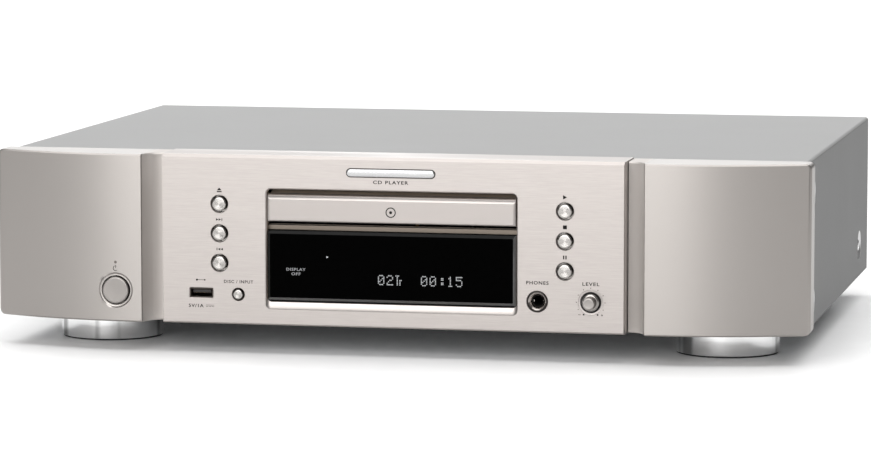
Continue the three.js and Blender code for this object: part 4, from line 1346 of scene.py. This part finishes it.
def make_base():
    low, high = spot("base_chassis")
    form = Form()

    def sheet(points):
        return [(points, 0.05), (points, 1.25)]

    neck, shoulder, front = HALF_PANEL - 3.5, COVER_FRONT + 1, PLATE + 0.5
    left = [(low.x, shoulder), (-neck, shoulder), (-neck, front)]
    right = [(neck, front), (neck, shoulder), (high.x, shoulder)]
    outline = [*left, *right, (high.x, high.y), (low.x, high.y)]
    slots = []
    count = case().slot_count
    for row in (128.0, 208.0):
        for i in range(count):
            x = -102 + 204 * i / (count - 1)
            slots.append(sheet(rounded((x - 1.6, row), (x + 1.6, row + 44), 1.55, 4)))
    form.plate(sheet(outline), slots, "xy")
    for side in (-1, 1):
        x0, x1 = sorted((side * (high.x - 1.2), side * high.x))
        form.block((x0, 31.4, 1.0), (x1, high.y, 12.0), 0.1, 1)
        x0, x1 = sorted((side * 126, side * high.x))
        form.block((x0, 30.3, 1.0), (x1, 31.5, 87.0), 0.1, 1)
    form.piece("base_tray", ["zinc_steel"], stands_for=["base_chassis"], slot="chassis_steel")


def make_feet():
    # Profiles as (distance out from the wall, height): the metal's upper and lower halves, then the rubber pad
    upper = ((-0.6, -0.05), (-0.15, -0.3), (0.25, -0.8))
    lower = ((0.25, 1.7), (0.12, 1.2), (-0.3, 0.85), (-1.0, 0.7))
    pad = ((-0.9, 0.69), (-0.7, 0.4), (-0.9, 0.1), (-1.6, 0))
    for node in FEET:
        low, high = spot(node)
        at = middle(node)
        base, top, wide = low.z, high.z, (high.x - low.x) / 2

        def wall(steps, level):
            return [(wide + out, level + up) for out, up in steps]

        form = Form()
        body = [(0, top - 0.05), *wall(upper, top), *wall(lower, base), (0, base + 0.7)]
        form.turned(body, (at.x, at.y), "z", 96)
        form.paint = 1
        tread = [(0, base + 0.69), *wall(pad, base), (9, base), (8, base + 0.4), (0, base + 0.4)]
        form.turned(tread, (at.x, at.y), "z", 96)
        form.piece(f"{node}_turned", ["foot_metal", "foot_rubber"], stands_for=[node], slot="polished_metal")


# ---- Rear ----


def make_rear():
    low, high = spot("rear_panel")
    face, back = high.y, low.y
    form = Form()
    outline = rounded((low.x, low.z), (high.x, high.z), 0.4, 2)
    inner = rounded((low.x + 0.2, low.z + 0.2), (high.x - 0.2, high.z - 0.2), 0.3, 2)
    holes = []

    def hole(points):
        holes.append([(points, face), (points, back)])

    for x in (148, 172, 120):
        hole(circle((x, 30), 4.9, 32))
    for x in (44, 60):
        hole(circle((x, 25), 4.3, 32))
    hole(rounded((92.7, 24.7), (103.3, 35.3), 0.5, 2))
    hole(rounded((19, 23), (29, 27), 0.3, 2))
    hole(rounded((-184.3, 19.2), (-155.7, 40.8), 1.0, 3))
    for row in range(3):
        for i in range(16):
            x = -70 + i * 5.2
            hole(rounded((x - 1.3, 52 + row * 9), (x + 1.3, 58.4 + row * 9), 1.25, 3))
    form.plate([(inner, face), (outline, face - 0.2), (outline, back)], holes)
    form.piece("rear_plate", ["rear_paint"], stands_for=["rear_panel"], slot="rear_paint")
    form = Form()
    labels = (
        ("ANALOG OUT", 2.4, (160, 46)),
        ("L", 2.4, (172, 20)),
        ("R", 2.4, (148, 20)),
        ("DIGITAL OUT", 2.4, (109, 46)),
        ("COAXIAL", 1.9, (121, 20)),
        ("OPTICAL", 1.9, (98, 20)),
        ("REMOTE CONTROL", 2.1, (42, 38)),
        ("IN", 1.9, (60, 17)),
        ("OUT", 1.9, (44, 17)),
        ("INT     EXT", 1.9, (24, 19.5)),
        ("AC IN", 2.8, (-170, 47)),
    )
    for text, height, centre in labels:
        print_words(form, text, height, height * 0.82 * len(text), centre, face + 0.02, facing=1)
    form.piece("rear_printing", ["white_ink"])


def make_jacks():
    low, high = spot("analog_jacks")
    tip, root = high.y, REAR_FACE - 1.5

    def phono(form, x, tone):
        form.paint = 0
        end, flange = [(3.45, tip - 0.3), (3.6, tip), (4.05, tip), (4.2, tip - 0.2)], REAR_FACE + 0.1
        barrel = [*end, (4.2, REAR_FACE + 0.2), (4.9, flange), (4.9, root), (3.45, root)]
        form.turned([(3.45, tip - 7.6), *barrel, (3.45, tip - 7.6)], (x, 30), sides=48)
        form.paint = tone
        core = [(1.5, tip - 6), (1.5, tip - 1.2), (1.65, tip - 1.0), (3.2, tip - 1.0), (3.44, tip - 1.25)]
        back = REAR_FACE - 1
        form.turned([*core, (3.44, back), (1.5, back), core[0]], (x, 30), sides=48)
        near, far = REAR_FACE - 1.2, REAR_FACE - 0.6
        form.turned([(0, near), (1.6, near), (1.6, far), (0, far)], (x, 30), sides=24)

    form = Form()
    phono(form, 172, 1)
    phono(form, 148, 2)
    form.paint = 3
    form.block((low.x, low.y, low.z), (high.x, REAR_FACE - 1.4, 41), 0.4)
    finishes = ["gold_plate", "white_core", "red_core", "black_plastic"]
    form.piece("analog_sockets", finishes, stands_for=["analog_jacks"], slot="gold_plate")
    low, high = spot("digital_jacks")
    form = Form()
    phono(form, 120, 1)
    form.paint = 2
    ring = rounded((93, 25), (103, 35), 0.5, 2)
    mouth = rounded((94.3, 26.3), (101.7, 33.7), 0.3, 2)
    form.plate([(ring, 328), (ring, 313)], [[(mouth, 328), (mouth, 313)]])
    form.block((94, 312, 26), (102, 313.2, 34))
    form.block((low.x, low.y, low.z), (high.x, 312, 41), 0.4)
    form.block((104.5, 311.9, low.z), (high.x, REAR_FACE - 1.4, 41), 0.3)
    finishes = ["gold_plate", "orange_core", "black_plastic"]
    form.piece("digital_sockets", finishes, stands_for=["digital_jacks"], slot="gold_plate")
    low, high = spot("remote_jacks")
    form = Form()
    form.block((32, low.y, low.z), (high.x, REAR_FACE - 1.4, high.z), 0.4)
    end = high.y
    nose = [(1.75, end - 0.2), (1.95, end), (3.7, end), (3.95, end - 0.25), (3.95, root), (1.75, root)]
    for x in (44, 60):
        form.turned([(1.75, 315), *nose, (1.75, 315)], (x, 25), sides=40)
    tub = rounded((14.5, 20), (33, 30.5), 0.4, 2)
    trough = rounded((19.1, 23.1), (28.9, 26.9), 0.2, 2)
    form.plate([(tub, root), (tub, 317)], [[(trough, root), (trough, 317)]])
    form.block((14.5, 316, 20), (33, 317.1, 30.5))
    form.piece("remote_sockets", ["black_plastic"], stands_for=["remote_jacks"], slot="black_plastic")
    low, high = spot("remote_switch")
    form = Form()
    form.block(low, (high.x, high.y - 0.01, high.z), 0.25)
    for i in range(3):
        x = low.x + 0.9 + i * 1.1
        form.block((x - 0.2, high.y - 0.3, low.z + 0.2), (x + 0.2, high.y, high.z - 0.2), 0.08, 1)
    form.piece("remote_slider", ["white_ink"], "remote_switch", ["remote_switch"], "grey_plastic")


def make_mains_inlet():
    low, high = spot("mains_inlet")
    form = Form()
    x, z = middle("mains_inlet").x, middle("mains_inlet").z
    well = [(-12, -8), (12, -8), (12, 4.4), (8.4, 8), (-8.4, 8), (-12, 4.4)]
    mouth = [(x + u, z + v) for u, v in well]
    lip = [(x + u * 1.03, z + v * 1.03) for u, v in well]
    rim = rounded((low.x, low.z), (high.x, high.z), 2.0, 5)
    soft = rounded((low.x + 0.5, low.z + 0.5), (high.x - 0.5, high.z - 0.5), 1.6, 5)
    back = REAR_FACE + 0.1
    hole = [(lip, high.y), (mouth, high.y - 0.4), (mouth, back)]
    form.plate([(soft, high.y), (rim, high.y - 0.5), (rim, back)], [hole])
    body = rounded((x - 14, z - 10.5), (x + 14, z + 10.5), 1, 3)
    front = REAR_FACE + 0.05
    form.plate([(body, front), (body, low.y)], [[(mouth, front), (mouth, low.y)]])
    form.block((x - 13, low.y - 0.5, z - 9.5), (x + 13, low.y + 0.6, z + 9.5), 0.2, 1)
    form.paint = 1
    for side in (-7, 7):
        form.block((x + side - 1, low.y, z - 2), (x + side + 1, 322, z + 2), 0.3)
    finishes = ["black_plastic", "zinc_steel"]
    form.piece("mains_socket", finishes, stands_for=["mains_inlet"], slot="black_plastic")


REAR_SCREWS = (
    *((x, 82) for x in (-206, -120, 0, 206)),
    *((-206, 10), (206, 10), (134, 33), (84, 33), (160, 30), (10, 25)),
)


def make_screws():
    radius = case().screw_radius / MM
    depth = case().seat_depth / MM
    seats = [((side * (COVER_HALF - depth), y, z), (side, 0, 0)) for side in (-1, 1) for y, z in SCREW_SEATS]
    rear = [((x, REAR_FACE, z), (0, 1, 0)) for x, z in REAR_SCREWS]
    under = [((x, y, 0.05), (0, 0, -1)) for x in (-196, -70, 70, 196) for y in (42, 168, 312)]
    kinds = (
        ("cover_screws", radius, 1.9, seats, "screw_zinc", "cover_paint", 4),
        ("rear_screws", 2.9, 1.5, rear, "screw_black", "rear_paint", 7),
        ("base_screws", 3.0, 1.4, under, "screw_zinc", "chassis_steel", 9),
    )
    for name, radius, height, places, material, slot, seed in kinds:
        repeated(name, screw_sample(radius, height), places, material, math.pi, seed)


# ---- Inside ----


# The finish of a carried-over solid, by its material slot. Any other slot gets black plastic.
SLOT_FINISHES = {
    "circuit_board": "circuit_board",
    "black_plastic": "black_plastic",
    "grey_plastic": "grey_acetal",
    "chassis_steel": "zinc_steel",
    "motor_steel": "motor_steel",
    "subframe_paint": "beige_paint",
    "polished_metal": "ground_rod",
    "brass_pulley": "turned_brass",
    "belt_rubber": "belt_rubber",
    "transformer_core": "laminations",
    "sink_aluminium": "sink_aluminium",
    "display_acrylic": "black_acrylic",
}


def make_inside():
    """Gives every carried-over solid its finish."""
    slots = {entry["node"]: entry["material_slot"] for entry in frame["record"]["subparts"]}
    for name, node in frame["nodes"].items():
        if node.hide_render:
            continue
        node.data.materials.clear()
        node.data.materials.append(finish(SLOT_FINISHES.get(slots.get(name), "black_plastic")))
        # The subframe keeps its paint only on faces that look forward; its top, sides and back are near-black,
        # as painted shade.
        if name == "front_subframe":
            node.data.materials.append(finish("dark_well"))
            for face in node.data.polygons:
                face.material_index = 0 if face.normal.y < -0.5 else 1


# ---- Stage ----


def make_stage():
    settings = bpy.context.scene.player_stage
    scene = bpy.context.scene
    scene.view_settings.view_transform = "Standard"
    mesh = bpy.data.meshes.new("floor")
    reach = 40.0
    corners = [(-reach, -reach, 0), (reach, -reach, 0), (reach, reach, 0), (-reach, reach, 0)]
    mesh.from_pydata(corners, [], [(0, 1, 2, 3)])
    mesh.materials.append(finish("pale_floor"))
    floor = placed("floor", mesh)

    def lamp(name, kind, energy, at, toward, **details):
        light = bpy.data.lights.new(name, kind)
        light.energy = energy
        for key, value in details.items():
            setattr(light, key, value)
        holder = placed(name, light)
        holder.location = at
        holder.rotation_mode = "QUATERNION"
        holder.rotation_quaternion = (Vector(toward) - Vector(at)).to_track_quat("-Z", "Y")
        holder.visible_camera = False

    def panel(name, power, at, width, height):
        lamp(name, "AREA", power, at, (0, 0, 0.1), shape="RECTANGLE", size=width, size_y=height)

    lamp("overhead", "SUN", settings.overhead, (0.0, 0.4, 2.5), (0, 0, 0), angle=math.radians(80))
    panel("backdrop", settings.backdrop, (-0.7, 4.6, 0.75), 2.4, 1.4)
    panel("softbox", settings.softbox, (-0.5, -3.3, 1.35), 2.2, 2.6)
    world = bpy.data.worlds.new("surroundings")
    scene.world = world
    world.use_nodes = True
    backdrop = world.node_tree.nodes["Background"]
    backdrop.inputs["Color"].default_value = (1, 1, 1, 1)
    backdrop.inputs["Strength"].default_value = settings.world
    camera = bpy.data.cameras.new("camera")
    camera.lens = settings.lens
    camera.sensor_width = 36
    camera.clip_start, camera.clip_end = 0.05, 200
    holder = placed("camera", camera)
    holder.location = (0.4794, -2.3161, 0.3092)
    holder.rotation_euler = (math.pi / 2 - 0.1105, 0, 0.2084)
    scene.camera = holder


# ---- Operators ----


def operator(identity, label, note, *makers):
    """An operator that runs its makers in order."""

    def execute(self, context):
        for maker in makers:
            maker()
        return {"FINISHED"}

    members = {
        "__doc__": note,
        "bl_idname": f"player.{identity}",
        "bl_label": label,
        "bl_options": {"REGISTER", "UNDO"},
        "execute": execute,
    }
    return type(f"PLAYER_OT_{identity}", (bpy.types.Operator,), members)


OPERATORS = (
    operator("stage", "Stage", "Adds the floor, the lights and the camera", make_stage),
    operator("front_plate", "Front plate", "Builds the central panel and its holes", make_front_panel),
    operator("ends", "End panels", "Builds the two curved end panels", make_ends),
    operator("keys", "Keys", "Builds the transport keys and the input key", make_keys),
    operator("power", "Power key", "Builds the power key and its lamp", make_power),
    operator("level", "Level knob", "Builds the level knob and its collar", make_level),
    operator("sockets", "Front sockets", "Builds the USB and headphone sockets", make_sockets),
    operator("drawer", "Drawer", "Builds the drawer's face and tray", make_drawer_front, make_tray),
    operator("display", "Display", "Builds the display block and its readout", make_display),
    operator("markings", "Markings", "Prints the front's lettering and symbols", make_markings, make_name_bar),
    operator("cover", "Cover", "Folds the top cover with its screw seats", make_cover),
    operator("base", "Base and feet", "Builds the base and the turned feet", make_base, make_feet),
    operator("rear", "Rear", "Builds the rear panel and its sockets", make_rear, make_jacks, make_mains_inlet),
    operator("screws", "Screws", "Sets the case screws", make_screws),
    operator("inside", "Inside", "Finishes the solids inside the case", make_inside),
)


class PLAYER_PT_sidebar(bpy.types.Panel):
    """Lists the sizes, the colours and the makers."""

    bl_label = "Disc player"
    bl_idname = "PLAYER_PT_sidebar"
    bl_space_type = "VIEW_3D"
    bl_region_type = "UI"
    bl_category = "Disc player"

    def draw(self, context):
        for name, group in GROUPS.items():
            column = self.layout.column(align=True)
            for field in group.__annotations__:
                column.prop(getattr(context.scene, name), field)
        for item in OPERATORS:
            self.layout.operator(item.bl_idname)


GROUPS = {
    "player_front": FrontSizes,
    "player_case": CaseSizes,
    "player_colours": FinishColours,
    "player_readout": Readout,
    "player_stage": StageSettings,
}


def register():
    for group in GROUPS.values():
        bpy.utils.register_class(group)
    for name, group in GROUPS.items():
        setattr(bpy.types.Scene, name, PointerProperty(type=group))
    for item in (*OPERATORS, PLAYER_PT_sidebar):
        bpy.utils.register_class(item)


def unregister():
    for item in reversed((*OPERATORS, PLAYER_PT_sidebar)):
        bpy.utils.unregister_class(item)
    for name in GROUPS:
        delattr(bpy.types.Scene, name)
    for group in GROUPS.values():
        bpy.utils.unregister_class(group)


def main():
    register()
    for item in OPERATORS:
        action = getattr(bpy.ops.player, item.bl_idname.split(".")[1])
        if action() != {"FINISHED"}:
            raise RuntimeError(f"{item.bl_label} didn't finish")


if __name__ == "__main__":
    main()
